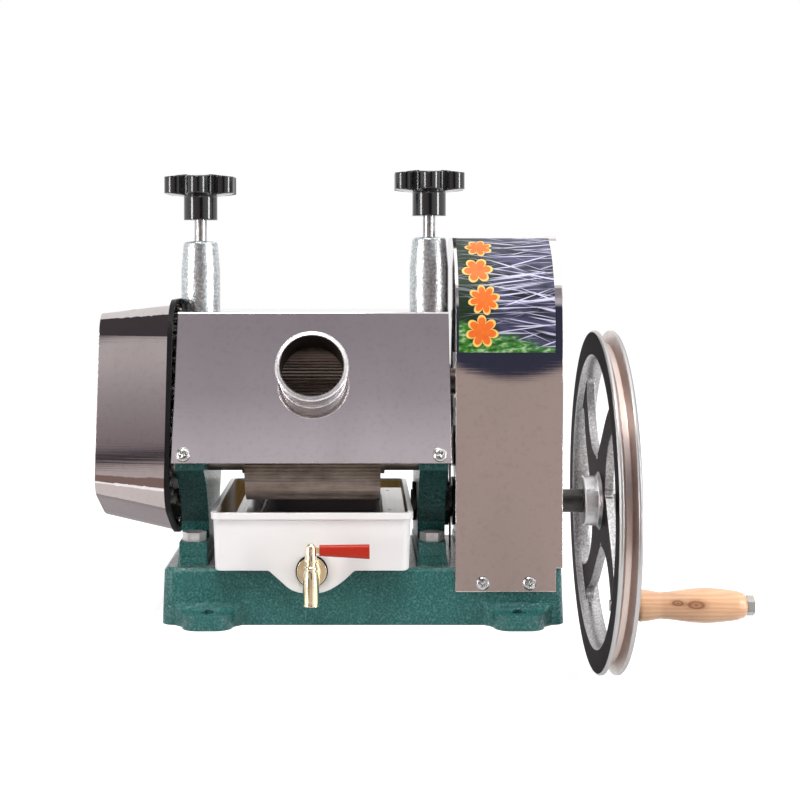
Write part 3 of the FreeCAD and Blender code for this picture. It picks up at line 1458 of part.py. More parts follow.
def handwheel():
    rim_r = wheel_d / 2
    inner_r = rim_r - wheel_rim_depth
    hub_r = wheel_hub_d / 2
    x0 = 0.0
    x1 = wheel_rim_w
    web0 = (wheel_rim_w - wheel_web_t) / 2
    web1 = web0 + wheel_web_t
    hub0 = wheel_hub_x - wheel_rim_x
    hub1 = hub0 + wheel_hub_w
    middle = wheel_rim_w / 2
    profile = [(wheel_bore_d / 2 + snug, hub0), (hub_r - 1, hub0), (hub_r, hub0 + 1),
               (hub_r, web0 - 3), (hub_r + 4, web0), (inner_r - 2, web0), (inner_r, x0 + 1),
               (inner_r + 1, x0), (rim_r - wheel_edge, x0), (rim_r, x0 + wheel_edge),
               (rim_r, middle - groove_w / 2),
               (rim_r - groove_depth, middle - groove_floor_w / 2),
               (rim_r - groove_depth, middle + groove_floor_w / 2),
               (rim_r, middle + groove_w / 2),
               (rim_r, x1 - wheel_edge), (rim_r - wheel_edge, x1), (inner_r + 1, x1),
               (inner_r, x1 - 1), (inner_r - 2, web1), (hub_r + 2, web1), (hub_r, hub1),
               (wheel_bore_d / 2 + snug, hub1)]
    blank = turned(profile, V(mill_x + wheel_rim_x, 0, input_z), X_AXIS)
    blank = blank.cut(Part.makeCompound([wheel_window(i) for i in range(spokes)]))
    boss = rod_x(grip_boss_d / 2, mill_x + web_x, mill_x + grip_boss_end_x, grip_y, grip_z)
    wheel = joined([blank, boss])
    cuts = [key_bar(mill_x + wheel_hub_x - 1, mill_x + wheel_hub_end_x + 1, wheel_bore_d,
                    input_z, snug),
            rod_x(grip_bolt_d / 2 + snug, mill_x + web_x - 1, mill_x + grip_boss_end_x + 1,
                  grip_y, grip_z)]
    return wheel.cut(Part.makeCompound(cuts))


def wheel_washer():
    x0 = mill_x + wheel_hub_end_x
    return rod_x(wheel_washer_d / 2, x0, x0 + wheel_washer_t, 0, input_z).cut(
        rod_x(wheel_bore_d / 2 + snug, x0 - 1, x0 + wheel_washer_t + 1, 0, input_z))


def wheel_nut():
    return hex_nut(wheel_nut_af, wheel_nut_h, wheel_bore_d,
                   V(mill_x + wheel_nut_x, 0, input_z), X_AXIS)


def grip_bolt():
    length = grip_end_x + gap - web_x + grip_bolt_tail
    return hex_bolt(grip_bolt_af, grip_bolt_head_h, grip_bolt_d, length,
                    V(mill_x + grip_end_x + gap, grip_y, grip_z), X_AXIS)


def grip():
    """Turned wooden grip with a flared foot, a neck and a full belly."""
    belly = grip_belly_d / 2
    neck = grip_neck_d / 2
    tip = grip_tip_d / 2
    foot = grip_end_d / 2
    profile = [(grip_bolt_d / 2 + fit, 0), (foot * 0.9, 0), (foot, grip_neck_at * 0.14),
               (foot * 0.96, grip_neck_at * 0.43), (neck, grip_neck_at),
               (neck * 1.07, grip_belly_at * 0.5), (belly * 0.945, grip_belly_at * 0.775),
               (belly, grip_belly_at), (belly * 0.94, grip_len * 0.76),
               (tip * 1.2, grip_len * 0.91), (tip, grip_len * 0.975),
               (tip * 0.77, grip_len), (grip_bolt_d / 2 + fit, grip_len)]
    return turned(profile, V(mill_x + grip_x, grip_y, grip_z), X_AXIS)


# ---------------------------------------------------------------- write every piece
front_phase = mating_phase(top_phase, roller_teeth, towards_front, roller_teeth)
rear_phase = mating_phase(top_phase, roller_teeth, towards_rear, roller_teeth)
plain_end = upright_out + 3.5

nodes = {
    "base_casting": base_casting(),
    "left_upright": upright(-1),
    "right_upright": upright(1),
    "upright_bolts": upright_bolts(),
    "lower_bushes": lower_bushes(),
    "input_bushes": input_bushes(),
    "bearing_pedestal": bearing_pedestal(),
    "pedestal_bolts": pedestal_bolts(),
    "left_tower": tower(-1),
    "right_tower": tower(1),
    "tower_screws": tower_screws(),
    "front_hood": front_hood(),
    "feed_tube": feed_tube(),
    "rear_hood": rear_hood(),
    "hood_screws": hood_screws(),
    "gear_cover": gear_cover(),
    "gear_cover_screws": gear_cover_screws(),
    "left_cover": left_cover(),
    "left_cover_trim": left_cover_trim(),
    "cover_posts": cover_posts(),
    "left_cover_screws": left_cover_screws(),
    "top_roller": roller(0, top_roller_z, drive_gear_x, True),
    "top_roller_gear": roller_gear(top_phase, 0, top_roller_z),
    "top_roller_nut": roller_nut(0, top_roller_z),
    "drive_gear": drive_gear(),
    "drive_gear_key": drive_key(),
    "drive_gear_nut": drive_nut(),
    "front_roller": roller(-roller_spread, low_roller_z, plain_end, False),
    "front_roller_gear": roller_gear(front_phase, -roller_spread, low_roller_z),
    "front_roller_nut": roller_nut(-roller_spread, low_roller_z),
    "rear_roller": roller(roller_spread, low_roller_z, plain_end, False),
    "rear_roller_gear": roller_gear(rear_phase, roller_spread, low_roller_z),
    "rear_roller_nut": roller_nut(roller_spread, low_roller_z),
    "left_bearing_block": bearing_block(-1),
    "right_bearing_block": bearing_block(1),
    "top_bushes": top_bushes(),
    "left_spring": pressure_spring(-1),
    "right_spring": pressure_spring(1),
    "left_thrust_cap": thrust_cap(-1),
    "right_thrust_cap": thrust_cap(1),
    "left_pressure_screw": pressure_screw(-1),
    "right_pressure_screw": pressure_screw(1),
    "left_star_knob": star_knob(-1),
    "right_star_knob": star_knob(1),
    "input_shaft": input_shaft(),
    "input_keys": input_keys(),
    "pinion": pinion(),
    "handwheel": handwheel(),
    "wheel_washer": wheel_washer(),
    "wheel_nut": wheel_nut(),
    "grip_bolt": grip_bolt(),
    "grip": grip(),
    "juice_tray": juice_tray(),
    "strainer": strainer(),
    "tap_washer": tap_washer(),
    "tap_nut": tap_nut(),
    "tap_body": tap_body(),
    "tap_lever": tap_lever(),
    "lever_sleeve": lever_sleeve(),
}

os.makedirs("parts", exist_ok=True)
for name, shape in nodes.items():
    shape.exportStep("parts/" + name + ".step")
    print(name, len(shape.Solids), shape.isValid(), round(shape.Volume / 1000, 2))
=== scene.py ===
"""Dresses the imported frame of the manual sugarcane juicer, with its studio and camera."""

import json
import math

import bpy
from mathutils import Matrix, Vector, noise


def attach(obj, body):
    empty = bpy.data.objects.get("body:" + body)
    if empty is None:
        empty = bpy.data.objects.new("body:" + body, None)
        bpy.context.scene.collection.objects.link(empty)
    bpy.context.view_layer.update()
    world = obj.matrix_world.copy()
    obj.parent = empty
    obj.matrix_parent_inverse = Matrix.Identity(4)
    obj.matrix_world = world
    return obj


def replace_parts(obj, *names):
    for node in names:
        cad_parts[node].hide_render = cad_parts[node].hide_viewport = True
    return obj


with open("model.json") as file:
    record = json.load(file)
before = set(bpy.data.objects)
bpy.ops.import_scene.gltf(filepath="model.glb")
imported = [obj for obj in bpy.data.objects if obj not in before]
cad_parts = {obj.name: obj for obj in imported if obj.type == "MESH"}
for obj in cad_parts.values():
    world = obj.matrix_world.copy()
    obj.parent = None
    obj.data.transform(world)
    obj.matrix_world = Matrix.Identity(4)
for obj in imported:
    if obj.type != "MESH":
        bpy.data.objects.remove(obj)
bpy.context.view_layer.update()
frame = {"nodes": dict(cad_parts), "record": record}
nodes = frame["nodes"]
scene = bpy.context.scene
collection = scene.collection

# ------------------------------------------------------------------ main sizes, in metres
MILL_X = -0.0457            # middle plane of the rollers
INPUT_Z = 0.0986            # axis of the input shaft and the handwheel
UPRIGHT_IN = 0.0960         # half the gap between the side frames
BASE_TOP = 0.051
SHADED_FRONT_Z = (0.088, 0.160)    # heights where the fronts of the side frames get painted shade from the hood
ARCH_R = 0.0915             # outer radius of the gear cover's arch
ARCH_Z = 0.263              # height where the arch begins

# sloping front plate: it falls 132.5 mm over a depth of 55 mm, from its foot at 148 mm
HOOD_SLOPE = math.hypot(55.0, 132.5)
HOOD_SIN = 55.0 / HOOD_SLOPE
HOOD_COS = 132.5 / HOOD_SLOPE
TUBE_AT = (MILL_X, -0.108 + (0.2234 - 0.148) * 55.0 / 132.5, 0.2234)
TUBE_IN = 0.0291            # inner radius of the feed tube, with a little to spare
TUBE_OUT = 0.0298

# handwheel
GROOVE_X = 0.2290
GROOVE_HALF = 0.0068
GROOVE_R = 0.1485
TURNED_R = 0.1385           # the side faces are turned outside this radius
RIM_R = 0.1610
HUB_R = 0.0275

# amber tint on the inner back wall of the tray
AMBER_WALL_Y = (0.118, 0.1274)
AMBER_WALL_Z = (0.056, 0.1012)

# printed label on the arch: its X range, and its range along the cover's outline
LABEL_X = (0.0858, 0.1722)
LABEL_ALONG = (-0.0178, 0.1095)
LABEL_FACES = (0.00016, 0.00003)    # its upper and lower face, above the sheet
MOTIF_LIFT = 0.00017
CORE_LIFT = 0.00024
MOTIF_THICK = 0.00006

# cross recess of the screws
RECESS_DEEP = 0.0017
RECESS_HALF, RECESS_EDGE = 0.00078, 0.00022
RECESS_REACH, RECESS_END = 0.0034, 0.0005
RECESS_TAPER = 0.0062

# stage
FLOOR_Z = -0.0745           # below the wheel, which hangs lower than the feet
PLINTH_Z = -0.0003
CARD_X = (-0.40, -0.195)    # cards on the left end of the plinth, for the metal to reflect
CARD_Z = 0.0010
PATTERN_LOW, PATTERN_HIGH = -2.0, 4.6

# ------------------------------------------------------------------ camera
LENS_PX = 1584.78
IMAGE_PX = 800.0
cam_data = bpy.data.cameras.new("camera")
cam = bpy.data.objects.new("camera", cam_data)
collection.objects.link(cam)
scene.camera = cam
cam_data.sensor_width = 36.0
cam_data.lens = LENS_PX / IMAGE_PX * cam_data.sensor_width
cam_data.shift_x = 0.05
cam_data.shift_y = -0.12
cam_data.clip_start = 0.05
cam_data.clip_end = 20.0
cam.location = (-0.002245, -1.507844, 0.323843)
cam.rotation_euler = (math.radians(90.0) - 0.02486, 0.0, 0.00036)

# ------------------------------------------------------------------ node helpers


class Mat:
    """A node material being built: small calls that add nodes and join them."""

    def __init__(self, name):
        self.mat = bpy.data.materials.new(name)
        self.mat.use_nodes = True
        self.tree = self.mat.node_tree
        self.bsdf = self.tree.nodes["Principled BSDF"]
        self.coord = self.tree.nodes.new("ShaderNodeTexCoord")
        self.split = None
        self.facing = None

    def link(self, a, b):
        self.tree.links.new(a, b)

    def mapping(self, scale=(1, 1, 1), rotation=(0, 0, 0)):
        n = self.tree.nodes.new("ShaderNodeMapping")
        n.inputs["Scale"].default_value = scale
        n.inputs["Rotation"].default_value = rotation
        self.link(self.coord.outputs["Object"], n.inputs["Vector"])
        return n.outputs["Vector"]

    def noise(self, vector, scale, detail=3.0, rough=0.55, distort=0.0):
        n = self.tree.nodes.new("ShaderNodeTexNoise")
        n.inputs["Scale"].default_value = scale
        n.inputs["Detail"].default_value = detail
        n.inputs["Roughness"].default_value = rough
        n.inputs["Distortion"].default_value = distort
        self.link(vector, n.inputs["Vector"])
        return n.outputs["Fac"]

    def cells(self, vector, scale, smooth):
        n = self.tree.nodes.new("ShaderNodeTexVoronoi")
        n.feature = "SMOOTH_F1"
        n.inputs["Scale"].default_value = scale
        n.inputs["Smoothness"].default_value = smooth
        self.link(vector, n.inputs["Vector"])
        return n.outputs["Distance"]

    def ramp(self, fac, stops):
        n = self.tree.nodes.new("ShaderNodeValToRGB")
        while len(n.color_ramp.elements) < len(stops):
            n.color_ramp.elements.new(0.5)
        for e, (pos, col) in zip(n.color_ramp.elements, stops):
            e.position = pos
            e.color = (*col, 1.0)
        self.link(fac, n.inputs["Fac"])
        return n.outputs["Color"]

    def math(self, op, a, b=0.0, c=None):
        n = self.tree.nodes.new("ShaderNodeMath")
        n.operation = op
        for i, v in enumerate((a, b, c)):
            if v is None:
                continue
            if isinstance(v, (int, float)):
                n.inputs[i].default_value = v
            else:
                self.link(v, n.inputs[i])
        return n.outputs[0]

    def mix(self, fac, a, b):
        n = self.tree.nodes.new("ShaderNodeMix")
        n.data_type = "RGBA"
        for socket, v in ((n.inputs[0], fac), (n.inputs[6], a), (n.inputs[7], b)):
            if isinstance(v, (int, float)):
                socket.default_value = v
            elif isinstance(v, tuple):
                socket.default_value = (*v, 1.0)
            else:
                self.link(v, socket)
        return n.outputs[2]

    def spread(self, fac, low, high, start=0.0, end=1.0):
        """Moves the range start..end to low..high."""
        n = self.tree.nodes.new("ShaderNodeMapRange")
        n.inputs["From Min"].default_value = start
        n.inputs["From Max"].default_value = end
        n.inputs["To Min"].default_value = low
        n.inputs["To Max"].default_value = high
        self.link(fac, n.inputs["Value"])
        return n.outputs["Result"]

    def axis(self, name):
        """One of the object's coordinates."""
        if self.split is None:
            self.split = self.tree.nodes.new("ShaderNodeSeparateXYZ")
            self.link(self.coord.outputs["Object"], self.split.inputs[0])
        return self.split.outputs[name]

    def normal(self, name):
        """One component of the surface's direction."""
        if self.facing is None:
            self.facing = self.tree.nodes.new("ShaderNodeSeparateXYZ")
            self.link(self.coord.outputs["Normal"], self.facing.inputs[0])
        return self.facing.outputs[name]

    def between(self, value, low, high):
        above = self.math("GREATER_THAN", value, low)
        return self.math("MULTIPLY", above, self.math("LESS_THAN", value, high))

    def bump(self, height, strength, distance, under=None):
        n = self.tree.nodes.new("ShaderNodeBump")
        n.inputs["Strength"].default_value = strength
        n.inputs["Distance"].default_value = distance
        self.link(height, n.inputs["Height"])
        if under is not None:
            self.link(under, n.inputs["Normal"])
        return n.outputs["Normal"]

    def edge(self, radius, samples=6):
        """Normal that rounds the edges, to go under a bump."""
        n = self.tree.nodes.new("ShaderNodeBevel")
        n.samples = samples
        n.inputs["Radius"].default_value = radius
        return n.outputs["Normal"]

    def set(self, **values):
        """Numbers, colours or node outputs for the shader's sockets."""
        names = {"color": "Base Color", "metal": "Metallic", "rough": "Roughness",
                 "normal": "Normal", "coat": "Coat Weight", "coat_rough": "Coat Roughness",
                 "spec": "Specular IOR Level", "tint": "Specular Tint"}
        for key, v in values.items():
            socket = self.bsdf.inputs[names[key]]
            if isinstance(v, (int, float)):
                socket.default_value = v
            elif isinstance(v, tuple):
                socket.default_value = (*v, 1.0)
            else:
                self.link(v, socket)
        return self.mat


def hammer_green():
    """Dark teal hammer enamel over a sand casting, with bare machined seats."""
    m = Mat("hammer_green")
    v = m.mapping()
    fine = m.noise(v, 520, 3, 0.6)
    cell = m.cells(v, 620, 0.5)
    lumps = m.noise(v, 300, 2, 0.5)
    fleck = m.math("ADD", m.math("MULTIPLY", cell, 0.6), m.math("MULTIPLY", fine, 0.55))
    paint = m.ramp(fleck, [(0.30, (0.007, 0.069, 0.063)), (0.50, (0.015, 0.108, 0.099)),
                           (0.66, (0.025, 0.136, 0.124)), (0.84, (0.10, 0.25, 0.235))])
    wide = m.noise(v, 24, 3)
    paint = m.mix(m.spread(wide, 0.0, 0.45, 0.35, 0.75), paint, (0.009, 0.076, 0.068))
    bare = m.ramp(fine, [(0.35, (0.045, 0.046, 0.044)), (0.52, (0.11, 0.108, 0.104)),
                         (0.68, (0.24, 0.235, 0.225))])
    inside = m.math("LESS_THAN", m.math("ABSOLUTE", m.math("SUBTRACT", m.axis("X"), MILL_X)),
                    UPRIGHT_IN)
    sideways = m.math("GREATER_THAN", m.math("ABSOLUTE", m.normal("X")), 0.9)
    upright = m.math("GREATER_THAN", m.axis("Z"), BASE_TOP + 0.010)
    seat = m.math("MULTIPLY", m.math("GREATER_THAN", m.normal("Z"), 0.95),
                  m.between(m.axis("Z"), BASE_TOP - 0.0005, BASE_TOP + 0.0005))
    worn = m.math("MAXIMUM", m.math("MULTIPLY", m.math("MULTIPLY", inside, sideways), upright),
                  seat)
    # painted shade: the fronts of the side frames are darkened at these heights, where the hood
    # shades them
    painted_front_shade = m.math("MULTIPLY", m.math("LESS_THAN", m.normal("Y"), -0.3),
                   m.between(m.axis("Z"), *SHADED_FRONT_Z))
    paint = m.mix(m.math("MULTIPLY", painted_front_shade, 0.72), paint, (0.003, 0.020, 0.018))
    color = m.mix(worn, paint, bare)
    rough = m.spread(fleck, 0.20, 0.34)
    height = m.math("ADD", m.math("MULTIPLY", fleck, 0.30), m.math("MULTIPLY", lumps, 1.6))
    normal = m.bump(height, 0.75, 0.0014, m.edge(0.0016))
    return m.set(color=color, rough=rough, spec=0.30, coat=0.12, coat_rough=0.12,
                 normal=normal)


def silver_casting():
    """Silver hammered paint on the pressure towers."""
    m = Mat("silver_casting")
    v = m.mapping()
    grain = m.noise(v, 430, 3, 0.6)
    cell = m.cells(v, 560, 0.4)
    base = m.ramp(grain, [(0.34, (0.34, 0.36, 0.37)), (0.50, (0.52, 0.55, 0.565)),
                          (0.66, (0.76, 0.79, 0.805))])
    height = m.math("ADD", grain, m.math("MULTIPLY", cell, 0.7))
    return m.set(color=base, metal=1.0, rough=m.spread(grain, 0.36, 0.26),
                 normal=m.bump(height, 0.30, 0.0008, m.edge(0.001)))


def stainless(name, tint=(0.62, 0.575, 0.575), brushed=(4, 4, 900), rough=(0.012, 0.030)):
    """Polished sheet with faint brushing, smears and spots."""
    m = Mat(name)
    hair = m.noise(m.mapping(brushed), 1.0, 4, 0.7)
    smear = m.noise(m.mapping((9, 9, 3.5)), 1.0, 3, 0.5, 0.6)
    spots = m.noise(m.mapping(), 190, 2, 0.5)
    light = tuple(min(1.0, c * 1.07) for c in tint)
    dark = tuple(c * 0.92 for c in tint)
    color = m.mix(m.spread(smear, 0, 1, 0.3, 0.72), dark, light)
    color = m.mix(m.spread(spots, 0.0, 0.14, 0.52, 0.74), color, (0.34, 0.29, 0.28))
    mixed = m.math("ADD", m.math("MULTIPLY", hair, 0.5), m.math("MULTIPLY", smear, 0.5))
    wave = m.noise(m.mapping((7, 7, 5)), 1.0, 2, 0.4)
    under = m.bump(wave, 0.02, 0.004, m.edge(0.0009, 4))
    return m.set(color=color, metal=1.0, rough=m.spread(mixed, rough[0], rough[1], 0.3, 0.7),
                 normal=m.bump(hair, 0.02, 0.0002, under))


def tube_steel():
    """Brushed steel, darker inside the feed tube."""
    m = Mat("tube_steel")
    grain = m.noise(m.mapping((60, 60, 60)), 1.0, 4, 0.7)
    scuff = m.noise(m.mapping(), 260, 3, 0.6)
    across = m.math("SUBTRACT", m.axis("X"), TUBE_AT[0])
    y = m.math("SUBTRACT", m.axis("Y"), TUBE_AT[1])
    z = m.math("SUBTRACT", m.axis("Z"), TUBE_AT[2])
    down = m.math("ADD", m.math("MULTIPLY", y, HOOD_SIN), m.math("MULTIPLY", z, HOOD_COS))
    away = m.math("ADD", m.math("MULTIPLY", across, across), m.math("MULTIPLY", down, down))
    inside = m.math("LESS_THAN", away, TUBE_IN ** 2)
    color = m.mix(m.spread(scuff, 0, 1, 0.35, 0.68), (0.52, 0.50, 0.51), (0.70, 0.68, 0.69))
    # the bore of the tube is given a much darker colour
    color = m.mix(inside, color, (0.10, 0.082, 0.078))
    return m.set(color=color, metal=1.0, rough=m.spread(grain, 0.36, 0.46),
                 normal=m.bump(scuff, 0.05, 0.0003, m.edge(0.0007, 4)))


def roller_steel():
    """Fluted roller steel, stained brown by juice."""
    m = Mat("roller_steel")
    v = m.mapping()
    along = m.noise(m.mapping((18, 420, 420)), 1.0, 4, 0.6)
    blot = m.noise(v, 46, 4, 0.6)
    color = m.mix(m.spread(blot, 0, 1, 0.32, 0.7), (0.23, 0.185, 0.155), (0.44, 0.375, 0.335))
    color = m.mix(m.spread(along, 0, 0.45, 0.42, 0.7), color, (0.62, 0.54, 0.49))
    normal = m.bump(along, 0.16, 0.0003)
    return m.set(color=color, metal=0.92, rough=m.spread(blot, 0.38, 0.5), normal=normal)


def machined(name, tint, rough=(0.26, 0.42), metal=1.0):
    """Machined metal with a stain that varies its colour."""
    m = Mat(name)
    hair = m.noise(m.mapping(), 500, 3, 0.6)
    stain = m.noise(m.mapping(), 60, 3, 0.6)
    dark = tuple(c * 0.62 for c in tint)
    color = m.mix(m.spread(stain, 0, 1, 0.35, 0.7), dark, tint)
    return m.set(color=color, metal=metal, rough=m.spread(hair, rough[0], rough[1]),
                 normal=m.bump(hair, 0.08, 0.0002, m.edge(0.0006, 4)))


def black_gloss():
    """Glossy black plastic of the star knobs."""
    m = Mat("black_gloss")
    v = m.mapping()
    dust = m.noise(v, 900, 2, 0.5)
    ripple = m.noise(v, 55, 2, 0.5)
    color = m.mix(m.spread(dust, 0, 1, 0.66, 0.78), (0.004, 0.004, 0.005), (0.02, 0.02, 0.022))
    return m.set(color=color, rough=m.spread(ripple, 0.07, 0.13), spec=0.75,
                 normal=m.bump(ripple, 0.03, 0.0006, m.edge(0.0022)))


def rubber():
    """Matt black edge strip and washer."""
    m = Mat("black_rubber")
    g = m.noise(m.mapping(), 1400, 2, 0.5)
    color = m.mix(g, (0.003, 0.003, 0.004), (0.009, 0.009, 0.010))
    return m.set(color=color, rough=m.spread(g, 0.42, 0.62), spec=0.12,
                 normal=m.bump(g, 0.15, 0.0002))


def urethane():
    """Amber springs inside the side frames."""
    m = Mat("urethane")
    g = m.noise(m.mapping(), 90, 3, 0.5)
    color = m.mix(g, (0.34, 0.17, 0.03), (0.52, 0.30, 0.07))
    return m.set(color=color, rough=m.spread(g, 0.3, 0.45), normal=m.bump(g, 0.05, 0.0004))


def white_plastic():
    """Off-white moulded plastic, tinted amber on its inner back wall."""
    m = Mat("white_plastic")
    v = m.mapping()
    g = m.noise(v, 1100, 2, 0.5)
    wide = m.noise(v, 14, 3, 0.5)
    color = m.mix(m.spread(wide, 0, 1, 0.3, 0.7), (0.75, 0.738, 0.735), (0.80, 0.788, 0.785))
    on_wall = m.math("MULTIPLY", m.between(m.axis("Y"), *AMBER_WALL_Y),
                     m.between(m.axis("Z"), *AMBER_WALL_Z))
    # the inner back wall is tinted amber here
    film = m.math("MULTIPLY", on_wall, m.math("LESS_THAN", m.normal("Y"), -0.5))
    color = m.mix(m.math("MULTIPLY", film, m.spread(wide, 0.75, 1.0)), color,
                  (0.92, 0.58, 0.13))
    return m.set(color=color, rough=m.spread(g, 0.26, 0.38),
                 normal=m.bump(g, 0.05, 0.0002, m.edge(0.0014)))


def brass(name, tint=(0.97, 0.86, 0.60)):
    """Polished yellow metal with darker stains."""
    m = Mat(name)
    v = m.mapping()
    g = m.noise(v, 420, 3, 0.5)
    stain = m.noise(v, 90, 3, 0.5)
    color = m.mix(m.spread(stain, 0, 1, 0.36, 0.7), tuple(c * 0.84 for c in tint), tint)
    return m.set(color=color, metal=1.0, rough=m.spread(g, 0.10, 0.18),
                 normal=m.bump(g, 0.04, 0.0003, m.edge(0.0006)))


def red_vinyl():
    """Dipped sleeve of the tap lever."""
    m = Mat("red_vinyl")
    g = m.noise(m.mapping(), 300, 3, 0.5)
    color = m.mix(g, (0.38, 0.017, 0.006), (0.46, 0.027, 0.011))
    return m.set(color=color, rough=m.spread(g, 0.26, 0.40), spec=0.3,
                 normal=m.bump(g, 0.08, 0.0004, m.edge(0.0012)))


def cast_wheel():
    """Cast wheel: rough side faces painted dark and turned flanges darker still as painted
    reflection, brighter edges and hub, a brown belt groove.
    """
    m = Mat("cast_aluminium")
    v = m.mapping()
    grain = m.noise(v, 520, 4, 0.62)
    wide = m.noise(v, 40, 4, 0.6)
    y = m.axis("Y")
    z = m.math("SUBTRACT", m.axis("Z"), INPUT_Z)
    radius = m.math("SQRT", m.math("ADD", m.math("MULTIPLY", y, y), m.math("MULTIPLY", z, z)))
    side = m.math("GREATER_THAN", m.math("ABSOLUTE", m.normal("X")), 0.75)
    # painted reflection: faces that look along the axle get a darker copy of the casting than
    # the edges
    dark = m.ramp(grain, [(0.33, (0.080, 0.075, 0.078)), (0.50, (0.15, 0.142, 0.146)),
                          (0.68, (0.34, 0.33, 0.335))])
    bright = m.ramp(grain, [(0.30, (0.22, 0.213, 0.217)), (0.50, (0.36, 0.352, 0.356)),
                            (0.68, (0.60, 0.59, 0.595))])
    color = m.mix(side, bright, dark)
    turned = m.math("GREATER_THAN", radius, TURNED_R)
    # painted reflection: the turned flanges are painted darker still
    painted_dark_flange = m.mix(m.spread(wide, 0, 1, 0.3, 0.72), (0.034, 0.030, 0.033), (0.080, 0.073, 0.077))
    color = m.mix(m.math("MULTIPLY", turned, side), color, painted_dark_flange)
    hub = m.math("LESS_THAN", radius, HUB_R)
    color = m.mix(m.math("MULTIPLY", hub, 0.75), color, (0.88, 0.87, 0.875))
    mid = m.math("ABSOLUTE", m.math("SUBTRACT", m.axis("X"), GROOVE_X))
    in_groove = m.math("MULTIPLY", m.math("LESS_THAN", mid, GROOVE_HALF),
                       m.math("GREATER_THAN", radius, GROOVE_R))
    deep = m.spread(radius, 1.0, 0.15, 0.1500, 0.1615)
    wall = m.mix(deep, (0.74, 0.72, 0.715), (0.56, 0.46, 0.42))
    wall = m.mix(m.spread(wide, 0.0, 0.6, 0.4, 0.7), wall, (0.46, 0.39, 0.36))
    color = m.mix(in_groove, color, wall)
    rim = m.math("MULTIPLY", m.math("GREATER_THAN", radius, RIM_R),
                 m.math("SUBTRACT", 1.0, side))
    color = m.mix(rim, color, (0.42, 0.41, 0.41))
    lathe = m.noise(m.mapping((900, 6, 6)), 1.0, 3, 0.6)
    # painted reflection: the specular tint dims what the flat side faces reflect
    flat = m.math("MULTIPLY", side, m.math("SUBTRACT", 1.0, in_groove))
    tint = m.mix(flat, (0.80, 0.78, 0.78), (0.19, 0.18, 0.185))
    rough_part = m.math("SUBTRACT", 1.0, m.math("MULTIPLY", turned, 0.8))
    height = m.math("ADD", m.math("MULTIPLY", grain, rough_part),
                    m.math("MULTIPLY", lathe, 0.3))
    return m.set(color=color, metal=1.0, rough=m.spread(grain, 0.28, 0.40), tint=tint,
                 normal=m.bump(height, 0.30, 0.0007, m.edge(0.0016)))


def pale_wood():
    """Varnished pale wood: fine grain along the grip, two knots on its side."""
    m = Mat("pale_wood")
    v = m.mapping()
    warp = m.noise(m.mapping((12, 70, 70)), 1.0, 3, 0.5)
    rings = m.tree.nodes.new("ShaderNodeTexWave")
    rings.wave_type = "BANDS"
    rings.bands_direction = "Z"
    rings.inputs["Scale"].default_value = 0.9
    rings.inputs["Distortion"].default_value = 7.0
    rings.inputs["Detail"].default_value = 3.0
    rings.inputs["Detail Scale"].default_value = 1.2
    m.link(m.mapping((9, 90, 90), (0.05, 0.02, 0.0)), rings.inputs["Vector"])
    fibre = m.noise(m.mapping((26, 700, 700)), 1.0, 3, 0.6)
    color = m.mix(m.spread(rings.outputs["Fac"], 0.15, 0.75, 0.1, 0.95), (0.65, 0.350, 0.195),
                  (0.80, 0.49, 0.29))
    color = m.mix(m.spread(fibre, 0.0, 0.22, 0.5, 0.75), color, (0.46, 0.23, 0.11))
    color = m.mix(m.spread(warp, 0.0, 0.30, 0.5, 0.8), color, (0.86, 0.60, 0.40))
    near = m.math("LESS_THAN", m.axis("Y"), -0.088)
    for knot_x, knot_z, size in ((0.297, 0.0205, 0.0040), (0.281, 0.0215, 0.0026)):
        dx = m.math("MULTIPLY", m.math("SUBTRACT", m.axis("X"), knot_x), 0.45)
        dz = m.math("SUBTRACT", m.axis("Z"), knot_z)
        away = m.math("SQRT", m.math("ADD", m.math("MULTIPLY", dx, dx),
                                     m.math("MULTIPLY", dz, dz)))
        away = m.math("ADD", away, m.math("MULTIPLY", m.math("SUBTRACT", warp, 0.5), 0.003))
        ring = m.ramp(m.spread(away, 0.0, 1.0, 0.0, size * 1.6),
                      [(0.0, (1.0, 1.0, 1.0)), (0.22, (0.45, 0.45, 0.45)),
                       (0.45, (0.85, 0.85, 0.85)), (0.62, (0.25, 0.25, 0.25)),
                       (1.0, (0.0, 0.0, 0.0))])
        color = m.mix(m.math("MULTIPLY", ring, near), color, (0.20, 0.06, 0.02))
    return m.set(color=color, rough=0.30, spec=0.35, coat=0.3, coat_rough=0.12,
                 normal=m.bump(fibre, 0.06, 0.0003, m.edge(0.0008)))


def zinc():
    """Zinc-plated fasteners."""
    m = Mat("zinc")
    v = m.mapping()
    g = m.noise(v, 500, 3, 0.6)
    stain = m.noise(v, 150, 2, 0.5)
    color = m.mix(m.spread(stain, 0, 1, 0.3, 0.7), (0.32, 0.315, 0.315), (0.58, 0.575, 0.57))
    return m.set(color=color, metal=1.0, rough=m.spread(g, 0.16, 0.30),
                 normal=m.bump(g, 0.05, 0.0002, m.edge(0.0007)))


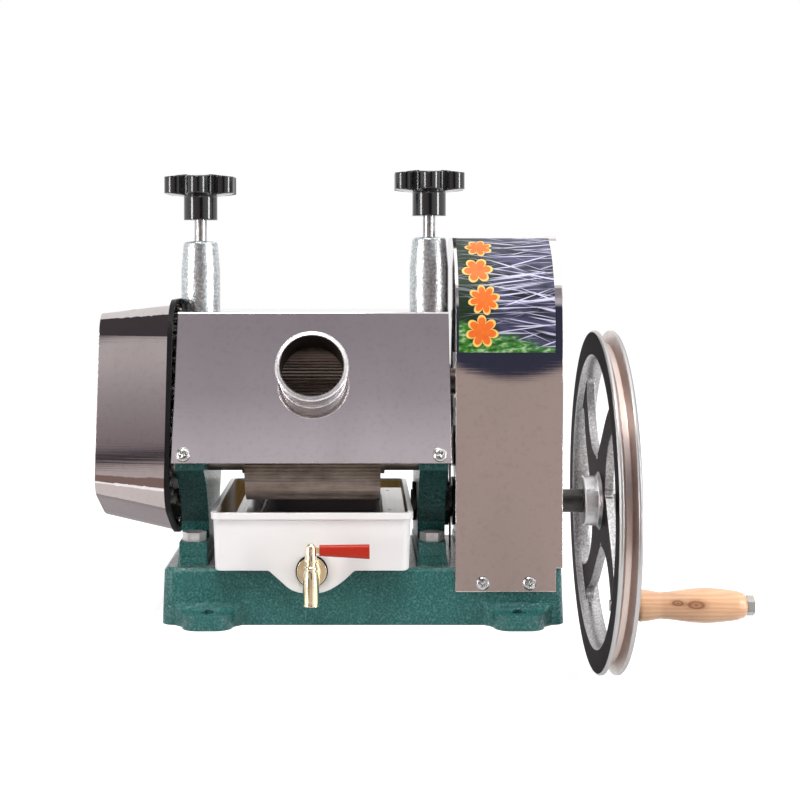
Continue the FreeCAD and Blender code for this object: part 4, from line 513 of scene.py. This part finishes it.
def label_print():
    """Printed label: pale crossing canes over a dark ground, green along its lower edge."""
    m = Mat("label_print")
    bend = m.math("ARCTAN2", m.math("SUBTRACT", m.axis("Z"), ARCH_Z),
                  m.math("MULTIPLY", m.axis("Y"), -1.0))
    sheet = m.tree.nodes.new("ShaderNodeCombineXYZ")
    m.link(m.axis("X"), sheet.inputs["X"])
    m.link(m.math("MULTIPLY", bend, ARCH_R), sheet.inputs["Y"])

    def strokes(turn, across, along=11.0, shift=0.0):
        """Coordinates stretched along a direction on the unrolled label."""
        n = m.tree.nodes.new("ShaderNodeMapping")
        n.vector_type = "TEXTURE"
        n.inputs["Location"].default_value = (0.0, shift, 0.0)
        n.inputs["Rotation"].default_value = (0.0, 0.0, turn)
        n.inputs["Scale"].default_value = (1.0 / along, 1.0 / across, 1.0)
        m.link(sheet.outputs[0], n.inputs["Vector"])
        return n.outputs["Vector"]

    pale = None
    for turn, low, across in ((0.14, 0.600, 430), (-0.19, 0.605, 400), (0.02, 0.600, 520),
                              (0.36, 0.640, 330), (-0.40, 0.640, 330)):
        stalks = m.noise(strokes(turn, across, shift=turn), 1.0, 2, 0.5, 0.15)
        line = m.spread(stalks, 0.0, 1.0, low, low + 0.06)
        pale = line if pale is None else m.math("MAXIMUM", pale, line)
    side = m.spread(m.axis("X"), 0.25, 1.0, 0.094, 0.126)
    pale = m.math("MULTIPLY", pale, side)
    cross = m.noise(strokes(-0.25, 120, 30.0), 1.0, 2, 0.5, 0.8)
    ground = m.mix(m.spread(cross, 0, 1, 0.3, 0.7), (0.005, 0.008, 0.009),
                   (0.070, 0.068, 0.135))
    ground = m.mix(m.spread(m.axis("X"), 1.0, 0.0, 0.100, 0.130), ground,
                   (0.008, 0.022, 0.008))
    color = m.mix(pale, ground, (0.62, 0.61, 0.78))
    leafy = m.ramp(m.noise(strokes(0.15, 240, 110.0), 1.0, 3, 0.6),
                   [(0.36, (0.012, 0.060, 0.008)), (0.52, (0.045, 0.22, 0.02)),
                    (0.66, (0.40, 0.55, 0.34))])
    low = m.math("ADD", m.axis("Z"),
                 m.math("MULTIPLY", m.math("SUBTRACT", m.axis("X"), 0.085), 0.26))
    green = m.spread(m.math("ADD", low, m.math("MULTIPLY", cross, 0.016)), 1.0, 0.0,
                     0.2755, 0.2830)
    color = m.mix(m.math("MULTIPLY", green, 0.9), color, leafy)
    return m.set(color=color, rough=0.38, spec=0.25)


def motif_print(name, first, second):
    """Printed colour of the blossoms."""
    m = Mat(name)
    g = m.noise(m.mapping(), 260, 2, 0.5)
    return m.set(color=m.mix(g, first, second), rough=0.38, spec=0.25)


materials = {
    "green_paint": hammer_green(),
    "silver_casting": silver_casting(),
    "stainless": stainless("stainless"),
    "tube_steel": tube_steel(),
    "roller_steel": roller_steel(),
    "gear_steel": machined("gear_steel", (0.40, 0.39, 0.37)),
    "shaft_steel": machined("shaft_steel", (0.10, 0.095, 0.09)),
    "bronze": brass("bronze", (0.60, 0.42, 0.20)),
    "zinc": zinc(),
    # painted reflection: a paler, half-metal copy of the zinc, so that the bolt heads under the
    # side frames read bright instead of showing the taupe wall they face
    "zinc_painted_bright": machined("zinc_painted_bright", (0.86, 0.85, 0.84), (0.34, 0.50), metal=0.45),
    "black_gloss": black_gloss(),
    "black_rubber": rubber(),
    "urethane": urethane(),
    "white_plastic": white_plastic(),
    "strainer_metal": stainless("strainer_metal", (0.32, 0.295, 0.295), (900, 4, 4),
                                (0.24, 0.36)),
    "tap_brass": brass("tap_brass"),
    "red_vinyl": red_vinyl(),
    "cast_aluminium": cast_wheel(),
    "wood": pale_wood(),
}


def smooth(obj, angle=32.0):
    """Weld split corners and shade by angle, with normals that follow the large faces."""
    weld = obj.modifiers.new("weld", "WELD")
    weld.merge_threshold = 0.000002
    for poly in obj.data.polygons:
        poly.use_smooth = True
    group = bpy.data.node_groups.get("by_angle_%d" % angle)
    if group is None:
        group = bpy.data.node_groups.new("by_angle_%d" % angle, "GeometryNodeTree")
        group.interface.new_socket("Geometry", in_out="INPUT", socket_type="NodeSocketGeometry")
        group.interface.new_socket("Geometry", in_out="OUTPUT", socket_type="NodeSocketGeometry")
        start = group.nodes.new("NodeGroupInput")
        end = group.nodes.new("NodeGroupOutput")
        all_smooth = group.nodes.new("GeometryNodeSetShadeSmooth")
        sharp = group.nodes.new("GeometryNodeSetShadeSmooth")
        sharp.domain = "EDGE"
        sharp.inputs["Shade Smooth"].default_value = False
        turn = group.nodes.new("GeometryNodeInputMeshEdgeAngle")
        over = group.nodes.new("FunctionNodeCompare")
        over.operation = "GREATER_THAN"
        over.inputs[1].default_value = math.radians(angle)
        group.links.new(turn.outputs["Unsigned Angle"], over.inputs[0])
        group.links.new(start.outputs[0], all_smooth.inputs["Geometry"])
        group.links.new(all_smooth.outputs[0], sharp.inputs["Geometry"])
        group.links.new(over.outputs[0], sharp.inputs["Selection"])
        group.links.new(sharp.outputs[0], end.inputs[0])
    shade = obj.modifiers.new("by_angle", "NODES")
    shade.node_group = group
    even = obj.modifiers.new("even", "WEIGHTED_NORMAL")
    even.mode = "FACE_AREA_WITH_ANGLE"
    even.weight = 90
    even.keep_sharp = True


slot_of = {s["node"]: s["material_slot"] for s in frame["record"]["subparts"]}
# nodes whose finish differs from the rest of their slot
# the upright bolts take the paler copy of the zinc, a painted reflection
finish = {"feed_tube": "tube_steel", "grip_bolt": "gear_steel",
          "upright_bolts": "zinc_painted_bright"}
for name, obj in nodes.items():
    obj.data.materials.clear()
    obj.data.materials.append(materials[finish.get(name, slot_of[name])])
    if obj.data.has_custom_normals:
        bpy.context.view_layer.objects.active = obj
        bpy.ops.mesh.customdata_custom_splitnormals_clear()
    smooth(obj)

# ------------------------------------------------------------------ pieces built here


def piece(name, verts, faces, mat, body, angle=32.0):
    """A new piece that rides a body and takes the finish it is given."""
    mesh = bpy.data.meshes.new(name)
    mesh.from_pydata(verts, [], faces)
    mesh.materials.append(mat)
    obj = bpy.data.objects.new(name, mesh)
    collection.objects.link(obj)
    smooth(obj, angle)
    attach(obj, body)
    return obj


def islands(obj):
    """Corner sets of the separate solids in one node."""
    places = [tuple(round(c, 6) for c in v.co) for v in obj.data.vertices]
    root = {p: p for p in places}

    def top(p):
        while root[p] != p:
            root[p] = root[root[p]]
            p = root[p]
        return p

    for poly in obj.data.polygons:
        corners = [top(places[i]) for i in poly.vertices]
        for c in corners[1:]:
            root[top(c)] = top(corners[0])
    sets = {}
    for p in root:
        sets.setdefault(top(p), []).append(Vector(p))
    return [sets[key] for key in sorted(sets)]


def cross_recess(x, y):
    """Depth of a cross recess at a point of the head, 0 to 1."""
    depth = 0.0
    for u, w in ((x, y), (y, x)):
        side = min(1.0, max(0.0, (RECESS_HALF - abs(w)) / RECESS_EDGE))
        end = min(1.0, max(0.0, (RECESS_REACH - abs(u)) / RECESS_END))
        depth = max(depth, side * end * (1.0 - abs(u) / RECESS_TAPER))
    return depth


def cross_screws(node, axis_of, turn, domed):
    """Pan head screws with a cross recess, in the places of a node's plain ones."""
    rings, around = 26, 64
    circle = [(math.cos(2 * math.pi * k / around), math.sin(2 * math.pi * k / around))
              for k in range(around)]
    verts, faces = [], []
    for number, points in enumerate(islands(nodes[node])):
        middle = sum(points, Vector()) / len(points)
        axis = axis_of(middle)
        centre = middle - axis * middle.dot(axis)
        heights = [p.dot(axis) for p in points]
        radii = [(p - centre - axis * p.dot(axis)).length for p in points]
        far, near = max(heights), min(heights)
        head_r = max(radii)
        seat = min(h for h, r in zip(heights, radii) if r > head_r * 0.97)
        shank = max(r for h, r in zip(heights, radii) if h < near + 0.0005)
        spin = Matrix.Rotation(turn + number * 1.1, 3, axis)
        across = spin @ axis.orthogonal().normalized()
        up = axis.cross(across)
        height = (far - seat) * domed
        first = len(verts)

        def put(u, w, h):
            verts.append(centre + across * u + up * w + axis * h)

        put(0, 0, seat + max(0.0, height - RECESS_DEEP))
        for ring in range(1, rings + 1):
            share = ring / rings
            crown = height * max(0.0, 1 - share ** 3.4) ** 0.42
            for c, s in circle:
                u, w = head_r * share * c, head_r * share * s
                put(u, w, seat + max(0.0, crown - RECESS_DEEP * cross_recess(u, w)))
        for h in (seat, near):
            for c, s in circle:
                put(shank * c, shank * s, h)
        put(0, 0, near)
        last = first + 1 + (rings + 1) * around
        for k in range(around):
            n = (k + 1) % around
            faces.append((first, first + 1 + k, first + 1 + n))
            for ring in range(rings + 1):
                a = first + 1 + ring * around
                faces.append((a + k, a + around + k, a + around + n, a + n))
            faces.append((last + k, last + around, last + n))
    return piece(node + "_cross", verts, faces, materials["zinc"], "frame", 28.0)


def hood_axis(point):
    """The way a screw's head faces on a sloping plate."""
    side = -1.0 if point.y < 0 else 1.0
    return Vector((0, side * HOOD_COS, HOOD_SIN))


def level_axis(point):
    """The same on the straight sides of the gear cover."""
    return Vector((0, -1.0 if point.y < 0 else 1.0, 0))


def left_axis(point):
    """The same on the left cover."""
    return Vector((-1, 0, 0))


for screws, axis_of, turn, domed in (("hood_screws", hood_axis, 0.5, 1.0),
                                     ("gear_cover_screws", level_axis, 0.3, 1.0),
                                     ("left_cover_screws", left_axis, 0.2, 0.45)):
    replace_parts(cross_screws(screws, axis_of, turn, domed), screws)


def arch_point(x, along, lift):
    """Point on the arched cover: along its outline from the end of the flat front."""
    radius = ARCH_R + lift
    if along < 0:
        return Vector((x, -radius, ARCH_Z + along))
    a = along / ARCH_R
    return Vector((x, -radius * math.cos(a), ARCH_Z + radius * math.sin(a)))


def sheet_on_arch(name, points, lift, mat):
    """Thin closed film over the arch, from a loop of (x, along) points round a centre."""
    cx = sum(p[0] for p in points) / len(points)
    ca = sum(p[1] for p in points) / len(points)
    rings = (0.34, 0.67, 1.0)
    verts = []
    for level in (lift + MOTIF_THICK, lift):
        verts.append(arch_point(cx, ca, level))
        for share in rings:
            for x, a in points:
                verts.append(arch_point(cx + (x - cx) * share, ca + (a - ca) * share, level))
    count = len(points)
    half = 1 + len(rings) * count
    faces = []
    for k in range(count):
        n = (k + 1) % count
        for flip, base in ((False, 0), (True, half)):
            loops = [(base, base + 1 + k, base + 1 + n)]
            for ring in range(len(rings) - 1):
                a = base + 1 + ring * count
                loops.append((a + k, a + count + k, a + count + n, a + n))
            faces += [tuple(reversed(f)) if flip else f for f in loops]
        rim = 1 + (len(rings) - 1) * count
        faces.append((rim + k, half + rim + k, half + rim + n, rim + n))
    return piece(name, verts, faces, mat, "frame", 60.0)


def label_sheet():
    """Label laid over the arch in strips, so that it follows the bend."""
    x0, x1 = LABEL_X
    start, end = LABEL_ALONG
    rows, cols = 56, 3
    verts = []
    for lift in LABEL_FACES:
        for r in range(rows + 1):
            for c in range(cols + 1):
                verts.append(arch_point(x0 + (x1 - x0) * c / cols,
                                        start + (end - start) * r / rows, lift))
    wide = cols + 1
    half = wide * (rows + 1)
    faces = []
    for r in range(rows):
        for c in range(cols):
            a = r * wide + c
            faces.append((a, a + 1, a + wide + 1, a + wide))
            b = half + a
            faces.append((b + wide, b + wide + 1, b + 1, b))
    border = ([c for c in range(cols)] + [r * wide + cols for r in range(rows)]
              + [rows * wide + c for c in range(cols, 0, -1)]
              + [r * wide for r in range(rows, 0, -1)])
    for k, a in enumerate(border):
        n = border[(k + 1) % len(border)]
        faces.append((a, half + a, half + n, n))
    return piece("arch_label", verts, faces, label_print(), "frame", 60.0)


def petal_loop(x, along, size, petals, phase, depth):
    """Outline of a blossom on the unrolled label."""
    points = []
    steps = petals * 16
    for k in range(steps):
        a = 2 * math.pi * k / steps
        r = size * (1.0 - depth + depth * abs(math.cos(petals * a / 2)) ** 0.7)
        points.append((x + r * math.cos(a + phase), along + r * math.sin(a + phase)))
    return points


label_sheet()
orange_edge = motif_print("motif_edge", (0.80, 0.50, 0.10), (0.86, 0.60, 0.20))
orange_core = motif_print("motif_core", (0.72, 0.10, 0.015), (0.80, 0.20, 0.03))
for number, (x, along, size, petals, phase) in enumerate(
        ((0.1060, 0.0900, 0.0128, 7, 0.4), (0.1035, 0.0600, 0.0142, 6, 0.1),
         (0.1085, 0.0300, 0.0146, 8, 1.0), (0.1065, 0.0010, 0.0150, 7, 0.7))):
    edge = petal_loop(x, along, size, petals, phase, 0.42)
    core = petal_loop(x, along, size * 0.85, petals, phase, 0.46)
    sheet_on_arch("motif_%d" % (2 * number + 1), edge, MOTIF_LIFT, orange_edge)
    sheet_on_arch("motif_%d" % (2 * number + 2), core, CORE_LIFT, orange_core)


def feed_tube_weld():
    """Uneven bead where the feed tube meets the sloping plate."""
    centre = Vector(TUBE_AT)
    axis = Vector((0, -HOOD_COS, HOOD_SIN))
    side = Vector((1, 0, 0))
    up = axis.cross(side)
    verts, faces = [], []
    steps, sides = 180, 10
    for k in range(steps):
        a = 2 * math.pi * k / steps
        out = side * math.cos(a) + up * math.sin(a)
        lump = noise.noise(Vector((math.cos(a) * 9, math.sin(a) * 9, 2.5)))
        ripple = 0.5 + 0.5 * math.cos(58 * a + 1.5 * lump)
        size = 0.00125 + 0.00035 * lump + 0.00022 * ripple
        for j in range(sides):
            b = 2 * math.pi * j / sides
            verts.append(centre + out * (TUBE_OUT + size * math.cos(b))
                         + axis * (0.0001 + size * 0.8 * math.sin(b)))
    for k in range(steps):
        for j in range(sides):
            n, o = (k + 1) % steps, (j + 1) % sides
            faces.append((k * sides + j, n * sides + j, n * sides + o, k * sides + o))
    piece("feed_tube_weld", verts, faces, materials["tube_steel"], "frame", 80.0)


feed_tube_weld()

# ------------------------------------------------------------------ stage and lights


def ray_is(tree, *kinds):
    """1 for a ray of one of these kinds, and 0 for any other."""
    path = tree.nodes.new("ShaderNodeLightPath")
    value = path.outputs["Is %s Ray" % kinds[0]]
    for kind in kinds[1:]:
        either = tree.nodes.new("ShaderNodeMath")
        either.operation = "MAXIMUM"
        tree.links.new(value, either.inputs[0])
        tree.links.new(path.outputs["Is %s Ray" % kind], either.inputs[1])
        value = either.outputs[0]
    return value


def paper_material():
    """White paper that still takes the object's shadow."""
    m = bpy.data.materials.new("paper")
    m.use_nodes = True
    tree = m.node_tree
    bsdf = tree.nodes["Principled BSDF"]
    bsdf.inputs["Base Color"].default_value = (0.42, 0.42, 0.42, 1)
    bsdf.inputs["Roughness"].default_value = 1.0
    bsdf.inputs["Specular IOR Level"].default_value = 0.0
    strength = tree.nodes.new("ShaderNodeMath")
    strength.operation = "MULTIPLY"
    strength.inputs[1].default_value = 0.84
    tree.links.new(ray_is(tree, "Camera", "Glossy", "Transmission"), strength.inputs[0])
    glow = tree.nodes.new("ShaderNodeEmission")
    tree.links.new(strength.outputs[0], glow.inputs["Strength"])
    add = tree.nodes.new("ShaderNodeAddShader")
    tree.links.new(bsdf.outputs[0], add.inputs[0])
    tree.links.new(glow.outputs[0], add.inputs[1])
    tree.links.new(add.outputs[0], tree.nodes["Material Output"].inputs["Surface"])
    return m


def backdrop_material(name, pattern):
    """Card that the metal reflects, and that is white where the camera sees it."""
    m = Mat(name)
    glow = m.tree.nodes.new("ShaderNodeEmission")
    m.link(pattern(m), glow.inputs["Color"])
    white = m.tree.nodes.new("ShaderNodeEmission")
    white.inputs["Strength"].default_value = 1.0
    swap = m.tree.nodes.new("ShaderNodeMixShader")
    m.link(ray_is(m.tree, "Camera"), swap.inputs["Fac"])
    m.link(glow.outputs[0], swap.inputs[1])
    m.link(white.outputs[0], swap.inputs[2])
    m.link(swap.outputs[0], m.tree.nodes["Material Output"].inputs["Surface"])
    m.tree.nodes.remove(m.bsdf)
    return m.mat


def even_pattern(first, second, scale=3.0):
    """Pattern that wanders softly between two colours."""
    return lambda m: m.mix(m.noise(m.mapping(), scale), first, second)


def wall_pattern(m):
    """Bands in front of the machine, which its plates reflect, by height and side."""
    height = m.spread(m.axis("Z"), 0.0, 1.0, PATTERN_LOW, PATTERN_HIGH)

    def at(z):
        """Place on the ramps of a height on the wall."""
        return (z - PATTERN_LOW) / (PATTERN_HIGH - PATTERN_LOW)

    taupe = (0.52, 0.425, 0.385)
    navy = (0.048, 0.052, 0.088)
    gloom = (0.075, 0.062, 0.072)
    # the gear cover reflects a dark field whose lower edge hangs like a bowl
    off_middle = m.math("SUBTRACT", m.axis("X"), 0.465)
    bowl = m.math("MULTIPLY_ADD", m.math("MULTIPLY", off_middle, off_middle), 1.35, -0.030)
    below = m.spread(m.math("SUBTRACT", m.axis("Z"), bowl), 1.0, 0.0, -0.006, 0.006)
    middle = m.ramp(height, [(0.0, navy), (at(2.1), navy),
                             (at(2.5), (0.68, 0.65, 0.69)), (at(2.94), (0.67, 0.64, 0.68)),
                             (at(3.2), (0.47, 0.44, 0.48)), (at(3.53), (0.39, 0.365, 0.40)),
                             (1.0, (0.35, 0.33, 0.36))])
    middle = m.mix(below, middle, taupe)
    left = m.ramp(height, [(0.0, (0.30, 0.21, 0.19)), (at(0.20), (0.30, 0.21, 0.19)),
                           (at(0.26), (0.62, 0.55, 0.54)), (at(1.292), (0.60, 0.53, 0.52)),
                           (at(1.300), gloom), (at(1.326), (0.070, 0.058, 0.066)),
                           (at(1.334), (0.25, 0.21, 0.225)), (at(1.375), (0.29, 0.245, 0.26)),
                           (at(1.53), (0.42, 0.38, 0.385)), (at(1.69), (0.62, 0.57, 0.575)),
                           (at(1.765), (0.62, 0.58, 0.58)), (at(1.775), gloom),
                           (1.0, gloom)])
    bright = m.ramp(height, [(0.0, (0.8, 0.8, 0.8)), (1.0, (0.9, 0.9, 0.9))])
    color = m.mix(m.spread(m.axis("X"), 1.0, 0.0, -1.25, -1.05), middle, left)
    return m.mix(m.spread(m.axis("X"), 0.0, 1.0, 1.15, 1.35), color, bright)


def stage_block(name, outline, low, high, mat):
    """Upright block of the stage over an outline."""
    mesh = bpy.data.meshes.new(name)
    count = len(outline)
    corners = [(x, y, z) for z in (low, high) for x, y in outline]
    sides = [tuple(range(count - 1, -1, -1)), tuple(range(count, 2 * count))]
    sides += [(k, (k + 1) % count, count + (k + 1) % count, count + k) for k in range(count)]
    mesh.from_pydata(corners, [], sides)
    mesh.materials.append(mat)
    obj = bpy.data.objects.new(name, mesh)
    collection.objects.link(obj)


def stage_box(name, low, high, mat):
    """Box of the stage between two corners."""
    outline = [(low[0], low[1]), (high[0], low[1]), (high[0], high[1]), (low[0], high[1])]
    stage_block(name, outline, low[2], high[2], mat)


paper = paper_material()
stage_box("floor", (-6, -0.42, -0.095), (6, 8, FLOOR_Z), paper)
# bench under the machine, cut back on the right so that it doesn't hide the wheel
bench = [(-0.30, -0.235), (0.158, -0.235), (0.185, -0.03), (0.12, 0.0), (0.10, 0.10),
         (-0.16, 0.10), (-0.16, 0.235), (-0.30, 0.235)]
stage_block("plinth", bench, FLOOR_Z, PLINTH_Z, paper)
shade = backdrop_material("shade", even_pattern((0.40, 0.37, 0.38), (0.44, 0.41, 0.42)))
pale = backdrop_material("pale", even_pattern((0.86, 0.80, 0.79), (0.92, 0.86, 0.85)))
stage_box("shade", (CARD_X[0], -0.045, PLINTH_Z), (CARD_X[1], 0.300, CARD_Z), shade)
stage_box("pale", (CARD_X[0], -0.235, PLINTH_Z), (CARD_X[1], -0.046, CARD_Z), pale)
wall = backdrop_material("wall", wall_pattern)
stage_box("wall", (-3.4, -3.62, PATTERN_LOW), (2.4, -3.60, PATTERN_HIGH), wall)
ceiling = backdrop_material(
    "ceiling", even_pattern((0.07, 0.06, 0.065), (0.08, 0.068, 0.074), 0.6))
stage_box("ceiling", (-3.4, -3.6, 3.0), (-0.75, 0.15, 3.02), ceiling)


def studio_world():
    """Soft light that grows towards the top, white where the camera or metal sees it."""
    world = bpy.data.worlds.new("world")
    world.use_nodes = True
    tree = world.node_tree
    coord = tree.nodes.new("ShaderNodeTexCoord")
    sep = tree.nodes.new("ShaderNodeSeparateXYZ")
    tree.links.new(coord.outputs["Generated"], sep.inputs[0])
    ramp = tree.nodes.new("ShaderNodeValToRGB")
    ramp.color_ramp.elements[0].position = 0.0
    ramp.color_ramp.elements[0].color = (0.42, 0.41, 0.41, 1)
    ramp.color_ramp.elements[1].position = 1.0
    ramp.color_ramp.elements[1].color = (0.92, 0.92, 0.93, 1)
    for pos, c in ((0.46, 0.46), (0.52, 0.60), (0.70, 0.74)):
        e = ramp.color_ramp.elements.new(pos)
        e.color = (c, c * 0.985, c * 0.985, 1)
    half = tree.nodes.new("ShaderNodeMapRange")
    half.inputs["From Min"].default_value = -1.0
    tree.links.new(sep.outputs["Z"], half.inputs["Value"])
    tree.links.new(half.outputs["Result"], ramp.inputs["Fac"])
    soft = tree.nodes["Background"]
    tree.links.new(ramp.outputs["Color"], soft.inputs["Color"])
    soft.inputs["Strength"].default_value = 0.56
    white = tree.nodes.new("ShaderNodeBackground")
    white.inputs["Color"].default_value = (1, 1, 1, 1)
    white.inputs["Strength"].default_value = 1.0
    swap = tree.nodes.new("ShaderNodeMixShader")
    tree.links.new(ray_is(tree, "Camera", "Glossy", "Transmission"), swap.inputs["Fac"])
    tree.links.new(soft.outputs[0], swap.inputs[1])
    tree.links.new(white.outputs[0], swap.inputs[2])
    tree.links.new(swap.outputs[0], tree.nodes["World Output"].inputs["Surface"])
    return world


scene.world = studio_world()


def lamp(name, place, target, size, watts):
    """Rectangular soft light turned towards a point."""
    data = bpy.data.lights.new(name, "AREA")
    data.shape = "RECTANGLE"
    data.size, data.size_y = size
    data.energy = watts
    obj = bpy.data.objects.new(name, data)
    collection.objects.link(obj)
    obj.location = place
    obj.rotation_euler = (Vector(target) - Vector(place)).to_track_quat("-Z", "Y").to_euler()


lamp("key", (-0.45, -1.0, 2.5), (0, 0, 0.15), (0.8, 0.8), 40)
lamp("left_strip", (-1.9, -1.2, 0.45), (0, 0, 0.25), (0.28, 1.5), 25)
lamp("right_strip", (1.9, -1.0, 0.45), (0, 0, 0.25), (0.28, 1.5), 27)
lamp("top", (1.15, 0.1, 2.6), (0.3, 0, 0.1), (3.9, 3.2), 38)
lamp("rim", (-0.4, 2.0, 1.2), (0, 0, 0.2), (2.6, 1.8), 8)

# ------------------------------------------------------------------ view transform
scene.view_settings.view_transform = "Standard"
